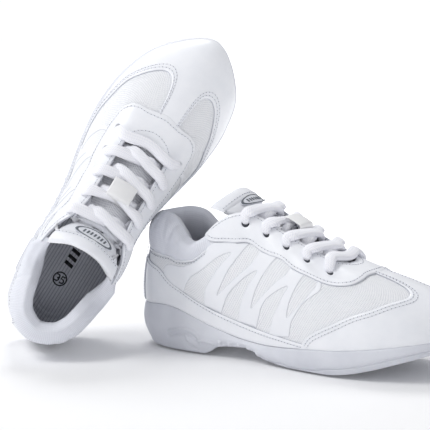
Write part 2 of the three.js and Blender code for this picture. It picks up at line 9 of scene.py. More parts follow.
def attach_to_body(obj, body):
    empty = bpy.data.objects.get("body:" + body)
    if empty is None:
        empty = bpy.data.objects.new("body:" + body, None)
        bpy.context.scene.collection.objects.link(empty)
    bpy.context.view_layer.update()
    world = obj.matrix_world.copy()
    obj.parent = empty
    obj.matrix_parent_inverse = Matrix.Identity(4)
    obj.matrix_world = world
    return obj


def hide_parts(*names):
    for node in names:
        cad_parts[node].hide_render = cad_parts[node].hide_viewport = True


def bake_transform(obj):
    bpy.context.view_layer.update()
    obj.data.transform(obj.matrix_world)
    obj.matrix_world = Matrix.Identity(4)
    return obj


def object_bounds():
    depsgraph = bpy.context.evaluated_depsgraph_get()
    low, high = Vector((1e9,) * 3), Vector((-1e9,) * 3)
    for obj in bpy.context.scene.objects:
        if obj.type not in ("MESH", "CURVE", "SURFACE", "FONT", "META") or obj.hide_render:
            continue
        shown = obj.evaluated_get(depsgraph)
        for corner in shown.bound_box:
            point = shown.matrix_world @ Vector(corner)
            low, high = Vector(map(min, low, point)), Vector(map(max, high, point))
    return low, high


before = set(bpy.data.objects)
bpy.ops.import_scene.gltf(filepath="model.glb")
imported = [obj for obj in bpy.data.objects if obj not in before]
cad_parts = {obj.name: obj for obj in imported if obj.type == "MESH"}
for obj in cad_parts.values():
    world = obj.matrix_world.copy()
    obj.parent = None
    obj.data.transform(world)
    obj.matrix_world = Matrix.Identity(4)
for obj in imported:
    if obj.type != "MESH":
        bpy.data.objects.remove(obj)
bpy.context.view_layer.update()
SIDES = ("right", "left")

# ---- Knitted mesh upper -------------------------------------------------------------------
# A seamless mesh knit is pulled over the last and shows in the quarters and in the two
# windows beside the toe strip. Both shoes share one last, mirrored; sizes are millimetres.
LAST = np.array([
    # feather line x, outer y, inner y, z; top line x, y, z; wall out, up; shoulder out, down
    [0, 0, 0, 26.5, 7, 0, 89, 3, 20, 3, 18],
    [4, 13.5, 13, 27.5, 12.5, 13, 90, 3, 20, 3, 18],
    [14, 23, 22, 28.5, 21.5, 19.3, 90.5, 2.5, 20, 3, 18],
    [27, 27, 26, 29.3, 31, 22.3, 88, 2, 20, 2.5, 17],
    [38, 28.5, 27.6, 28, 38.5, 24.2, 81, 1.5, 18, 2.5, 15],
    [48, 29.3, 28.2, 25, 44, 25.6, 75, 1.5, 17, 3, 13],
    [57, 29.5, 28, 21.8, 50, 26.4, 73.3, 1.5, 17, 3.5, 12],
    [66, 29.6, 27.5, 18.8, 58, 26.4, 78, 1.5, 19, 5, 13],
    [76, 29.8, 26.8, 16, 67, 25.2, 87, 1.5, 22, 6.5, 14],
    [87, 30.3, 26.4, 13.5, 76.5, 22.6, 93, 1.5, 24, 8, 14],
    [99, 31.6, 26.8, 12, 87, 17.5, 94, 1.5, 25, 11, 12],
    [112, 34, 28.3, 11.6, 99, 15, 89, 1.5, 25, 13, 9],
    [128, 37.4, 31.5, 12.6, 114, 15, 81.7, 1.5, 24, 14, 8],
    [146, 40.3, 35.5, 14.3, 130, 15, 74.3, 1.5, 23, 14, 7.5],
    [165, 41.3, 38.7, 15.8, 145, 14.5, 67.6, 1.5, 21, 15, 7.5],
    [190, 38, 39, 19.3, 150, 10.5, 65.6, 2, 19, 29, 8.3],
    [216, 25.5, 31, 23.5, 152.2, 5.2, 64.5, 3, 17, 41, 8.3],
    [237, -3.5, 3.5, 26.5, 152.6, 0, 64.4, 4, 15, 47.4, 8.4],
], float)
TIP = len(LAST) - 1
AROUND = 2 * TIP
UP = np.array([0, 0, 1.0])
inner_side = LAST[TIP - 1:0:-1]
feather = np.vstack([LAST[:, [0, 1, 3]], inner_side[:, [0, 2, 3]] * [1, -1, 1]])
topline = np.vstack([LAST[:, [4, 5, 6]], inner_side[:, [4, 5, 6]] * [1, -1, 1]])
swell = np.vstack([LAST[:, 7:], inner_side[:, 7:]])


def sideways(ahead, behind):
    """Unit vectors in plan, square to the run from behind to ahead."""
    d = ahead - behind
    n = np.stack([-d[:, 1], d[:, 0], 0 * d[:, 0]], 1)
    return n / np.linalg.norm(n, axis=1)[:, None]


def outward(ring):
    return sideways(np.roll(ring, -1, 0), np.roll(ring, 1, 0))


wall = feather + outward(feather) * swell[:, 0:1] + UP * swell[:, 1:2]
shoulder = topline + outward(topline) * swell[:, 2:3] - UP * swell[:, 3:4]


def curve_through(a, b, c, d, w):
    """A smooth run from b (w = 0) to c (w = 1), with a before it and d after it."""
    bend = 2 * a - 5 * b + 4 * c - d
    return 0.5 * (2 * b + (c - a) * w + bend * w**2 + (3 * b - a - 3 * c + d) * w**3)


def on_ring(ring, k):
    k = np.asarray(k, float) % AROUND
    i = np.floor(k).astype(int)
    return curve_through(*[ring[(i + n) % AROUND] for n in (-1, 0, 1, 2)], (k - i)[..., None])


def last(k, s):
    """A point on the last: k runs round it from the heel, s climbs from the sole to the top line."""
    s = np.asarray(s, float)[..., None]
    f, w, h, t = [on_ring(ring, k) for ring in (feather, wall, shoulder, topline)]
    return (1 - s)**3 * f + 3 * (1 - s)**2 * s * w + 3 * (1 - s) * s**2 * h + s**3 * t


def last_normal(k, s):
    step = 2e-3
    n = np.cross(last(k, s + step) - last(k, s - step), last(k + step, s) - last(k - step, s))
    return n / np.linalg.norm(n, axis=-1, keepdims=True)


def over(k, s, off):
    """A point off the last along its normal."""
    k, s, off = np.broadcast_arrays(np.asarray(k, float), np.asarray(s, float), np.asarray(off, float))
    return last(k, s) + last_normal(k, s) * off[..., None]


def fold(k):
    """The same place on the outer half, for what is alike on both."""
    k = np.asarray(k, float) % AROUND
    return np.where(k > TIP, AROUND - k, k)


# The cutter's flat pattern: distance round the last, and height up it.
CLIMB = 76.0
FLAT_LEVEL = 0.4
ring_k = np.linspace(-AROUND / 2, 1.5 * AROUND, 1601)
ring_p = last(ring_k, np.full(ring_k.shape, FLAT_LEVEL))
ring_u = np.concatenate([[0], np.cumsum(np.linalg.norm(np.diff(ring_p, axis=0), axis=1))])
ring_u -= np.interp(0, ring_k, ring_u)


def flat_of(ks):
    ks = np.asarray(ks, float)
    return np.stack([np.interp(ks[..., 0], ring_k, ring_u), ks[..., 1] * CLIMB], -1)


def k_of(flat):
    return np.stack([np.interp(flat[..., 0], ring_u, ring_k), flat[..., 1] / CLIMB], -1)


# One shoe stands with its heel pad over the origin; its mate leans on the first one's heel tab.
HEEL_PAD_X = 42.0
MATE_AT = np.array([-76.8, -42.8, 3.05])
mate_toe = np.array([0.3635, 0.4130, 0.835])
mate_toe /= np.linalg.norm(mate_toe)
mate_up = np.cross(mate_toe, [-0.6993, -0.4717, 0.537])
mate_up /= np.linalg.norm(mate_up)
mate_out = np.cross(mate_up, mate_toe)


def place(side, p):
    """Millimetres on the last to metres in the row's frame."""
    p = np.asarray(p, float)
    if side == "right":
        q = p * [1, -1, 1]
    else:
        q = p[..., 0:1] * mate_toe + p[..., 1:2] * mate_out + p[..., 2:3] * mate_up + MATE_AT
    return (q - [HEEL_PAD_X, 0, 0]) / 1000


def volume(verts, faces):
    """Signed volume of a closed mesh of triangles and quads: below zero if it is inside out."""
    total = 0.0
    for size in (3, 4):
        f = np.array([x for x in faces if len(x) == size])
        if len(f):
            for n in range(1, size - 1):
                a, b, c = verts[f[:, 0]], verts[f[:, n]], verts[f[:, n + 1]]
                total += np.sum(a * np.cross(b, c))
    return total / 6


WELD_WITHIN = 2e-5
NO_LENGTH = 1e-6


def make(name, side, verts, faces, mats, flat=None, edge=None, face_mat=None, weld=False):
    """A closed piece in its place on one shoe, with its faces turned outwards."""
    verts = np.asarray(verts, float)
    pts = place(side, verts)
    if volume(pts - pts.mean(0), faces) < 0:
        faces = [tuple(reversed(f)) for f in faces]
    mesh = bpy.data.meshes.new(f"{side}_{name}")
    mesh.from_pydata([tuple(p) for p in pts], [], faces)
    for m in mats if isinstance(mats, (list, tuple)) else [mats]:
        mesh.materials.append(m)
    if face_mat is not None:
        mesh.polygons.foreach_set("material_index", np.asarray(face_mat, np.int32))
    if flat is not None:
        layer = mesh.uv_layers.new(name="flat")
        corner = np.zeros(len(mesh.loops), np.int32)
        mesh.loops.foreach_get("vertex_index", corner)
        layer.data.foreach_set("uv", (np.asarray(flat, float)[corner] / 1000).astype(np.float32).ravel())
    if edge is not None:
        mesh.attributes.new("edge", "FLOAT", "POINT").data.foreach_set("value", np.asarray(edge, np.float32))
    mesh.polygons.foreach_set("use_smooth", [True] * len(mesh.polygons))
    if weld:
        bm = bmesh.new()
        bm.from_mesh(mesh)
        bmesh.ops.remove_doubles(bm, verts=bm.verts, dist=WELD_WITHIN)
        bmesh.ops.dissolve_degenerate(bm, edges=bm.edges, dist=NO_LENGTH)
        bm.to_mesh(mesh)
        bm.free()
    mesh.update()
    obj = bpy.data.objects.new(f"{side}_{name}", mesh)
    bpy.context.scene.collection.objects.link(obj)
    return obj


def attach(obj, side, replaced=(), body="shoe"):
    """Hide the model's parts that the piece stands for, then fix it to its body.

    Pieces that cross the ball of the foot take the body "bend": they are baked in place, not parented.
    """
    if replaced:
        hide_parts(*[f"{side}_{n}" for n in replaced])
    if body == "bend":
        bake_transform(obj)
    else:
        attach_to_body(obj, f"{side}_{body}")


def grid_faces(cols, rows, wrap_cols=False, wrap_rows=False, flip=False, start=0):
    i = np.arange(cols if wrap_cols else cols - 1)
    j = np.arange(rows if wrap_rows else rows - 1)
    i, j = np.meshgrid(i, j, indexing="ij")
    i2, j2 = (i + 1) % cols, (j + 1) % rows
    q = np.stack([i * rows + j, i2 * rows + j, i2 * rows + j2, i * rows + j2], -1).reshape(-1, 4) + start
    return [tuple(f) for f in (q[:, ::-1] if flip else q).tolist()]


def end_caps(rings, sides):
    """The two faces that close a row of rings."""
    return [tuple(range(sides)), tuple(reversed([(rings - 1) * sides + j for j in range(sides)]))]


def block_faces(start, n):
    """The sides of a block whose low and high rims are n points each."""
    steps = [(start + i, start + (i + 1) % n) for i in range(n)]
    return [(a, b, b + n, a + n) for a, b in steps]


def wrapped_wall(top, low):
    """Two matching ring-shaped grids joined along both rims."""
    c, r = top.shape[:2]
    n = c * r
    faces = grid_faces(c, r, wrap_cols=True, flip=True) + grid_faces(c, r, wrap_cols=True, start=n)
    for a in range(c):
        b = (a + 1) % c
        faces.append((a * r, b * r, b * r + n, a * r + n))
        faces.append((b * r + r - 1, a * r + r - 1, a * r + r - 1 + n, b * r + r - 1 + n))
    return np.vstack([top.reshape(-1, 3), low.reshape(-1, 3)]), faces


# -- finishes: shader groups shared by several materials give masks and heights only --
def shader_group(name, inputs, outputs):
    g = bpy.data.node_groups.new(name, "ShaderNodeTree")
    for label, kind, value in inputs:
        s = g.interface.new_socket(label, in_out="INPUT", socket_type=kind)
        if value is not None:
            s.default_value = value
    for label, kind in outputs:
        g.interface.new_socket(label, in_out="OUTPUT", socket_type=kind)
    return g, g.nodes.new("NodeGroupInput"), g.nodes.new("NodeGroupOutput")


def calc(t, op, *values):
    n = t.nodes.new("ShaderNodeMath")
    n.operation = op
    for i, v in enumerate(values):
        if isinstance(v, (int, float)):
            n.inputs[i].default_value = v
        else:
            t.links.new(v, n.inputs[i])
    return n.outputs[0]


def remap(t, value, low, high, to_low=0.0, to_high=1.0, smooth=False):
    n = t.nodes.new("ShaderNodeMapRange")
    if smooth:
        n.interpolation_type = "SMOOTHSTEP"
    for label, v in zip(("From Min", "From Max", "To Min", "To Max"), (low, high, to_low, to_high)):
        n.inputs[label].default_value = v
    t.links.new(value, n.inputs["Value"])
    return n.outputs[0]


def noise(t, vec, scale, detail=3.0, rough=0.5):
    n = t.nodes.new("ShaderNodeTexNoise")
    n.inputs["Scale"].default_value = scale
    n.inputs["Detail"].default_value = detail
    n.inputs["Roughness"].default_value = rough
    t.links.new(vec, n.inputs["Vector"])
    return n.outputs["Fac"]


def blend_colour(t, fac, a, b):
    m = t.nodes.new("ShaderNodeMix")
    m.data_type = "RGBA"
    for i, c in ((6, a), (7, b)):
        if isinstance(c, tuple):
            m.inputs[i].default_value = (*c, 1)
        else:
            t.links.new(c, m.inputs[i])
    t.links.new(fac, m.inputs[0])
    return m.outputs[2]


def srgb(*c):
    return tuple(((v / 255 + 0.055) / 1.055)**2.4 for v in c)


def bump(t, height, strength, distance, into):
    n = t.nodes.new("ShaderNodeBump")
    n.inputs["Strength"].default_value = strength
    n.inputs["Distance"].default_value = distance
    t.links.new(height, n.inputs["Height"])
    t.links.new(n.outputs[0], into)


def new_material(name):
    m = bpy.data.materials.new(name)
    m.use_nodes = True
    return m, m.node_tree, m.node_tree.nodes["Principled BSDF"]


def object_vector(t):
    return t.nodes.new("ShaderNodeTexCoord").outputs["Object"]


def flat_vector(t):
    n = t.nodes.new("ShaderNodeUVMap")
    n.uv_map = "flat"
    return n.outputs[0]


def flat_axes(t):
    """The flat pattern's vector, and its distance round the last and up it."""
    flat = flat_vector(t)
    axes = t.nodes.new("ShaderNodeSeparateXYZ")
    t.links.new(flat, axes.inputs[0])
    return flat, axes.outputs[0], axes.outputs[1]


def ribs_along(t, distance, pitch):
    return calc(t, "SINE", calc(t, "MULTIPLY", distance, 2 * math.pi / pitch))


def knit_group():
    """Diamond knit: open holes between slanting yarns, with fibre noise."""
    g, gi, go = shader_group("diamond_knit", [
        ("Flat", "NodeSocketVector", None), ("Pitch", "NodeSocketFloat", 0.0022),
    ], [("Hole", "NodeSocketFloat"), ("Height", "NodeSocketFloat")])
    axes = g.nodes.new("ShaderNodeSeparateXYZ")
    g.links.new(gi.outputs["Flat"], axes.inputs[0])
    x = calc(g, "DIVIDE", axes.outputs[0], gi.outputs["Pitch"])
    y = calc(g, "MULTIPLY", calc(g, "DIVIDE", axes.outputs[1], gi.outputs["Pitch"]), 0.8)
    one = calc(g, "SINE", calc(g, "MULTIPLY", calc(g, "ADD", x, y), math.pi))
    two = calc(g, "SINE", calc(g, "MULTIPLY", calc(g, "SUBTRACT", x, y), math.pi))
    cell = calc(g, "ABSOLUTE", calc(g, "MULTIPLY", one, two))
    hole = remap(g, cell, 0.35, 0.8, smooth=True)
    fibre = noise(g, gi.outputs["Flat"], 1500.0, 2.0)
    g.links.new(hole, go.inputs["Hole"])
    yarn = calc(g, "SUBTRACT", 1.0, hole)
    g.links.new(calc(g, "ADD", yarn, calc(g, "MULTIPLY", fibre, 0.3)), go.inputs["Height"])
    return g


DIAMOND_KNIT = knit_group()


def knit_material(name, yarn, gap, pitch, depth):
    m, t, b = new_material(name)
    flat = flat_vector(t)
    knit = t.nodes.new("ShaderNodeGroup")
    knit.node_tree = DIAMOND_KNIT
    knit.inputs["Pitch"].default_value = pitch
    t.links.new(flat, knit.inputs["Flat"])
    patch = remap(t, noise(t, flat, 260.0, 2.0), 0.3, 0.7, 0.55, 1.0)
    hole = calc(t, "MULTIPLY", knit.outputs["Hole"], patch)
    t.links.new(blend_colour(t, hole, yarn, gap), b.inputs["Base Color"])
    b.inputs["Roughness"].default_value = 0.85
    b.inputs["Sheen Weight"].default_value = 0.12
    bump(t, knit.outputs["Height"], 0.7, depth, b.inputs["Normal"])
    return m


white_knit = knit_material("white_knit_mesh", srgb(244, 245, 248), srgb(224, 226, 232), 0.0018, 0.0003)
KNIT_THICK = 0.6
KNIT_COLUMNS, KNIT_ROWS = 374, 56


UPPER_STEP_K = [6.9, 7.3]
UPPER_TOPS = [0.82, 0.985]


def upper_top(k):
    """The knit stops under the collar behind, and under the throat's edge in front."""
    return np.interp(fold(k), UPPER_STEP_K, UPPER_TOPS)


for side in SIDES:
    k, rise = np.meshgrid(
        np.linspace(0, AROUND, KNIT_COLUMNS, endpoint=False), np.linspace(0, 1, KNIT_ROWS), indexing="ij")
    s = rise * upper_top(k)
    verts, faces = wrapped_wall(over(k, s, 0), over(k, s, -KNIT_THICK))
    flat = flat_of(np.stack([k, s], -1)).reshape(-1, 2)
    obj = make("mesh_upper", side, verts, faces, white_knit, flat=np.vstack([flat, flat]))
    attach(obj, side, (
        "quarter_lateral", "quarter_medial", "vamp_mesh_lateral", "vamp_mesh_medial"), "bend")


# ---- Lining -------------------------------------------------------------------------------
# Brushed textile with fine slanting ribs, laminated to foam and stitched in at the top
# line. It is seen behind the collar of the standing shoe. Its ribs are the textile's own;
# its dark grey is painted shade for the shadowed inside of the shoe.
LINING_GAP = 0.1
LINING_THICK = 1.0
LINING_COLUMNS, LINING_ROWS = 260, 36
LINING_FOOT, LINING_TOP = 0.03, 0.96
LINING_RIB_PITCH = 0.0022


def shaded_lining_material():
    m, t, b = new_material("ribbed_lining_painted_shade")
    flat, around, up = flat_axes(t)
    slant = calc(t, "ADD", calc(t, "MULTIPLY", around, 0.8), calc(t, "MULTIPLY", up, 0.6))
    rib = ribs_along(t, slant, LINING_RIB_PITCH)
    mask = remap(t, rib, -0.9, 0.6)
    tone = noise(t, flat, 120.0, 3.0)
    # painted shade: these dark greys stand for the shadowed inside of the shoe
    ribbed = blend_colour(t, mask, srgb(134, 136, 148), srgb(166, 168, 179))
    t.links.new(blend_colour(t, remap(t, tone, 0.35, 0.65, 0.0, 0.25), ribbed, srgb(150, 152, 163)),
                b.inputs["Base Color"])
    b.inputs["Roughness"].default_value = 0.9
    b.inputs["Sheen Weight"].default_value = 0.2
    bump(t, rib, 0.5, 0.0003, b.inputs["Normal"])
    return m


lining_painted_shade = shaded_lining_material()
for side in SIDES:
    k, s = np.meshgrid(
        np.linspace(0, AROUND, LINING_COLUMNS, endpoint=False),
        np.linspace(LINING_FOOT, 1, LINING_ROWS), indexing="ij")
    s = s * np.minimum(upper_top(k), LINING_TOP)
    depth = -KNIT_THICK - LINING_GAP
    verts, faces = wrapped_wall(over(k, s, depth), over(k, s, depth - LINING_THICK))
    flat = flat_of(np.stack([k, s], -1)).reshape(-1, 2)
    obj = make("lining", side, verts, faces, lining_painted_shade, flat=np.vstack([flat, flat]))
    attach(obj, side, (), "bend")


# ---- Foam sole ----------------------------------------------------------------------------
# One moulded foam unit cemented to the feather line: it cups the heel, thins at the arch and
# springs up at the toe. Its wall carries a sculpted ridge, a wavy parting line and arch ribs.
SOLE_BOTTOM = np.array([
    (-2, 16), (-1, 10.5), (1.5, 5.4), (5, 2.4), (10, 0.9), (16, 0.25), (24, 0), (60, 0), (64, 1.6), (69, 5.2),
    (76, 6.5), (83, 7), (93, 7.6), (101, 5.1), (106, 2.4), (113, 1.2), (119, 0.5), (128, 0), (158, 0),
    (166, 0.9), (175, 2.6), (188, 6.2), (199.5, 9.9), (219, 16.2), (232, 20.5), (238.4, 23.4)])
PARTING_LINE = np.array([
    (104, 5.4), (109, 3.6), (113, 2.3), (117, 2.0), (121, 2.5), (125, 2.4), (129, 1.3), (135, 1.1),
    (147, 1.9), (158, 4.1), (168, 5.6), (180, 8.2), (200, 14.6), (219, 20.2), (240, 26)])
HEEL_RIDGE = np.array([
    (33, 12.2), (37, 13.6), (42, 14.8), (48.5, 15.4), (53, 13.9), (55.6, 12.2), (56.1, 10.4)])
HEEL_GROOVE = np.array([(45.9, 11), (47.2, 7.6), (49.8, 4.9), (53, 3.4), (56, 2.7)])
HEEL_CURL = np.array([(57.2, 8.1), (60, 8.7), (64, 8.6), (67.4, 7.9), (69.4, 6.2), (67.6, 4.8)])
HEEL_DOT = np.array([(55.6, 8.6), (55.9, 8.7)])
HEEL_SCOOP = HEEL_RIDGE - [0.5, 2.4]
SCULPTED_LINES = (  # line, how far it stands out, half its width
    (HEEL_RIDGE, 1.3, 1.15), (HEEL_SCOOP, -1.25, 1.5), (HEEL_GROOVE, -1.1, 0.65), (HEEL_CURL, 1.0, 0.95),
    (HEEL_DOT, 1.1, 0.9))
PARTING_DEPTH, PARTING_WIDTH, PARTING_FROM = 0.85, 0.55, 106
ARCH_FROM, ARCH_TO = 68, 112
ARCH_RIB_PITCH, ARCH_RIB_START, ARCH_RIB_RISE = 7.6, 73.4, 1.9
TREAD_RECESS = 1.1
HEEL_REACH = 24
HEEL_TUCK = 2.6
HEEL_LIFT = 1.3
SOLE_COLUMNS = 840
SOLE_SINK = 2.2
WALL_START, WALL_BULGE, WALL_TUCK = 1.75, 1.35, 1.3
SOLE_LIP = ((-2.0, -0.9), (-0.4, 0.0), (0.8, 0.35), (1.45, 0.1), (WALL_START, -0.5))  # out, up
SOLE_BOTTOM_EDGE = (  # out, share of the heel's lift, up
    (0.35, 0.8, 0.4), (-0.5, 0.5, 0.06), (-2.2, 0.1, 0.0), (-3.2, 0, TREAD_RECESS * 0.6),
    (-4.0, 0, TREAD_RECESS))


def sole_bottom(x):
    return np.interp(x, SOLE_BOTTOM[:, 0], SOLE_BOTTOM[:, 1])


def reach_of(line, x, z):
    """Distance from points on the side wall to a drawn line."""
    best = np.full(np.shape(x), 1e9)
    for (ax, az), (bx, bz) in zip(line[:-1], line[1:]):
        dx, dz = bx - ax, bz - az
        t = np.clip(((x - ax) * dx + (z - az) * dz) / (dx * dx + dz * dz), 0, 1)
        best = np.minimum(best, np.hypot(x - ax - t * dx, z - az - t * dz))
    return best


def sculpted(x, z, w):
    """How far the mould pushes the side wall out, or cuts it in."""
    lines = sum(push * np.exp(-(reach_of(line, x, z) / half)**2) for line, push, half in SCULPTED_LINES)
    from_parting = z - np.interp(x, PARTING_LINE[:, 0], PARTING_LINE[:, 1])
    parting = -PARTING_DEPTH * np.exp(-(from_parting / PARTING_WIDTH)**2) * (x > PARTING_FROM)
    arch = np.clip((x - ARCH_FROM) / 4, 0, 1) * np.clip((ARCH_TO - x) / 5, 0, 1)
    wave = np.maximum(0, np.cos(2 * np.pi * (x - ARCH_RIB_START) / ARCH_RIB_PITCH))
    ribs = ARCH_RIB_RISE * arch * wave * np.clip((w - 0.55) / 0.25, 0, 1)
    return lines + parting + ribs


def foam_material():
    m, t, b = new_material("moulded_white_foam")
    where = object_vector(t)
    skin = noise(t, where, 2400.0, 3.0, 0.6)
    cloud = noise(t, where, 45.0, 3.0)
    scuff = noise(t, where, 300.0, 5.0, 0.7)
    tone = blend_colour(t, remap(t, cloud, 0.35, 0.65), srgb(213, 215, 223), srgb(223, 225, 232))
    t.links.new(blend_colour(t, remap(t, scuff, 0.62, 0.8, 0.0, 0.5), tone, srgb(202, 204, 213)),
                b.inputs["Base Color"])
    t.links.new(remap(t, scuff, 0.3, 0.8, 0.5, 0.68), b.inputs["Roughness"])
    bump(t, skin, 0.3, 0.00012, b.inputs["Normal"])
    return m


def run_in_plan(t_in, x, y):
    """From the spine of the sole (0) out to its edge (1)."""
    spine_x = np.clip(x, 20, 214)
    spine_y = np.interp(spine_x, [20, 100, 214], [0.3, 2.0, -3.0])
    return spine_x + (x - spine_x) * t_in, spine_y + (y - spine_y) * t_in


def feather_run(columns):
    k = np.arange(columns) * AROUND / columns
    return k, on_ring(feather, k), sideways(on_ring(feather, k + 0.02), on_ring(feather, k - 0.02))


white_foam = foam_material()
WALL_ROWS = 44
for side in SIDES:
    k, f, out = feather_run(SOLE_COLUMNS)
    heel = np.exp(-(f[:, 0] / HEEL_REACH)**2)
    top, low = f[:, 2], sole_bottom(f[:, 0]) + HEEL_LIFT * heel
    rows = []
    for t_in in (0.0, 0.5, 0.8):
        x, y = run_in_plan(t_in, f[:, 0], f[:, 1])
        rows.append(np.stack([x, y, top - SOLE_SINK], 1))
    for off, dz in SOLE_LIP:
        rows.append(f + out * off + UP * dz)
    for w in np.linspace(0, 1, WALL_ROWS + 2)[1:-1]:
        z = (top - 0.5) * (1 - w) + (low + 0.9) * w
        tuck = (WALL_TUCK + HEEL_TUCK * heel) * w**3
        off = WALL_START + WALL_BULGE * math.sin(math.pi * w) - tuck + sculpted(f[:, 0], z, w)
        q = f + out * off[:, None]
        rows.append(np.stack([q[:, 0], q[:, 1], z], 1))
    for off, lift, dz in SOLE_BOTTOM_EDGE:
        q = f + out * (off - HEEL_TUCK * heel)[:, None]
        rows.append(np.stack([q[:, 0], q[:, 1], sole_bottom(q[:, 0]) + dz + HEEL_LIFT * heel * lift], 1))
    for t_in in (0.75, 0.5, 0.25, 0.0):
        x, y = run_in_plan(t_in, f[:, 0], f[:, 1])
        rows.append(np.stack([x, y, sole_bottom(x) + TREAD_RECESS], 1))
    g = np.stack(rows, 1)
    faces = grid_faces(*g.shape[:2], wrap_cols=True)
    obj = make("foam_sole", side, g.reshape(-1, 3), faces, white_foam, weld=True)
    attach(obj, side, ("midsole_rear", "midsole_front"), "bend")


# ---- Tread --------------------------------------------------------------------------------
# Low six-sided studs of pale rubber, in one field under the heel and one from the ball to the
# toe, where the shoe grips the mat. They fill the recess in the bottom of the foam.
STUD_PITCH = 4.6
STUD_ROW_PITCH = STUD_PITCH * 0.87
STUD_SIDES = 6
STUD_RADIUS = 2.05
STUD_TAPER = 0.78
STUD_SEAT = 0.1
STUD_MARGIN = 7.6
SOLE_HALF = 40
TREAD_PADS = ((16, 60), (107, 228))


def set_input(modifier, label, value):
    for item in modifier.node_group.interface.items_tree:
        if item.item_type == "SOCKET" and item.in_out == "INPUT" and item.name == label:
            modifier[item.identifier] = value


def geometry_tree(name, inputs):
    """A Geometry Nodes tree with named inputs; returns it with its two end nodes."""
    g = bpy.data.node_groups.new(name, "GeometryNodeTree")
    g.interface.new_socket("Geometry", in_out="INPUT", socket_type="NodeSocketGeometry")
    for label, kind, value in inputs:
        s = g.interface.new_socket(label, in_out="INPUT", socket_type=kind)
        if value is not None:
            s.default_value = value
    g.interface.new_socket("Geometry", in_out="OUTPUT", socket_type="NodeSocketGeometry")
    return g, g.nodes.new("NodeGroupInput"), g.nodes.new("NodeGroupOutput")


def grown(name, points, edges, tree, inputs, normals=None):
    """Run a tree over points and runs of points, and keep the result as one plain mesh."""
    seed = bpy.data.meshes.new(name + "_seed")
    seed.from_pydata([tuple(p) for p in points], edges, [])
    if normals is not None:
        seed.attributes.new("facing", "FLOAT_VECTOR", "POINT").data.foreach_set(
            "vector", np.asarray(normals, np.float32).ravel())
    carrier = bpy.data.objects.new(name + "_seed", seed)
    bpy.context.scene.collection.objects.link(carrier)
    mod = carrier.modifiers.new("grow", "NODES")
    mod.node_group = tree
    for label, value in inputs.items():
        set_input(mod, label, value)
    graph = bpy.context.evaluated_depsgraph_get()
    mesh = bpy.data.meshes.new_from_object(carrier.evaluated_get(graph))
    mesh.name = name
    carrier.modifiers.remove(mod)
    bpy.data.objects.remove(carrier)
    obj = bpy.data.objects.new(name, mesh)
    bpy.context.scene.collection.objects.link(obj)
    mesh.polygons.foreach_set("use_smooth", [True] * len(mesh.polygons))
    return obj


def flat_faces(obj):
    for p in obj.data.polygons:
        p.use_smooth = False


def stud_tree():
    g, gi, go = geometry_tree("stud_field", [
        ("Radius", "NodeSocketFloat", 0.002), ("Height", "NodeSocketFloat", 0.0011),
        ("Finish", "NodeSocketMaterial", None)])
    cone = g.nodes.new("GeometryNodeMeshCone")
    cone.inputs["Vertices"].default_value = STUD_SIDES
    g.links.new(gi.outputs["Radius"], cone.inputs["Radius Bottom"])
    g.links.new(calc(g, "MULTIPLY", gi.outputs["Radius"], STUD_TAPER), cone.inputs["Radius Top"])
    g.links.new(gi.outputs["Height"], cone.inputs["Depth"])
    turn = g.nodes.new("FunctionNodeAlignRotationToVector")
    turn.axis = "Z"
    facing = g.nodes.new("GeometryNodeInputNamedAttribute")
    facing.data_type = "FLOAT_VECTOR"
    facing.inputs["Name"].default_value = "facing"
    g.links.new(facing.outputs["Attribute"], turn.inputs["Vector"])
    spread = g.nodes.new("GeometryNodeInstanceOnPoints")
    g.links.new(gi.outputs["Geometry"], spread.inputs["Points"])
    g.links.new(cone.outputs["Mesh"], spread.inputs["Instance"])
    g.links.new(turn.outputs[0], spread.inputs["Rotation"])
    end_tree(g, spread.outputs["Instances"], gi.outputs["Finish"], go)
    return g


def end_tree(g, instances, finish, go):
    real = g.nodes.new("GeometryNodeRealizeInstances")
    coat = g.nodes.new("GeometryNodeSetMaterial")
    g.links.new(instances, real.inputs[0])
    g.links.new(real.outputs[0], coat.inputs["Geometry"])
    g.links.new(finish, coat.inputs["Material"])
    g.links.new(coat.outputs[0], go.inputs[0])


def tread_material():
    m, t, b = new_material("pale_rubber_tread")
    where = object_vector(t)
    dust = noise(t, where, 180.0, 4.0, 0.6)
    t.links.new(blend_colour(t, remap(t, dust, 0.4, 0.7), srgb(214, 216, 223), srgb(196, 198, 206)),
                b.inputs["Base Color"])
    b.inputs["Roughness"].default_value = 0.6
    bump(t, noise(t, where, 1800.0, 2.0), 0.3, 0.0001, b.inputs["Normal"])
    return m


pale_rubber = tread_material()
STUD_FIELD = stud_tree()
for side in SIDES:
    spots = []
    for start, stop in TREAD_PADS:
        for n, x in enumerate(np.arange(start, stop, STUD_ROW_PITCH)):
            half_out = np.interp(x, LAST[:, 0], LAST[:, 1]) - STUD_MARGIN
            half_in = np.interp(x, LAST[:, 0], LAST[:, 2]) - STUD_MARGIN
            for y in np.arange(-SOLE_HALF, SOLE_HALF, STUD_PITCH) + (n % 2) * STUD_PITCH / 2:
                if -half_in < y < half_out:
                    spots.append((x, y, sole_bottom(x)))
    spots = np.array(spots)
    slope = np.gradient(SOLE_BOTTOM[:, 1], SOLE_BOTTOM[:, 0])
    lean = np.interp(spots[:, 0], SOLE_BOTTOM[:, 0], slope)
    down = np.stack([lean, 0 * lean, -1 + 0 * lean], 1)
    down /= np.linalg.norm(down, axis=1)[:, None]
    base = spots - down * (TREAD_RECESS + STUD_SEAT)
    turned = place(side, base + down) - place(side, base)
    obj = grown(f"{side}_tread", place(side, base), [], STUD_FIELD, {
        "Radius": STUD_RADIUS / 1000, "Height": TREAD_RECESS / 1000, "Finish": pale_rubber},
        normals=turned * 1000)
    flat_faces(obj)
    attach(obj, side, ("outsole_heel", "outsole_ball", "outsole_toe"), "bend")


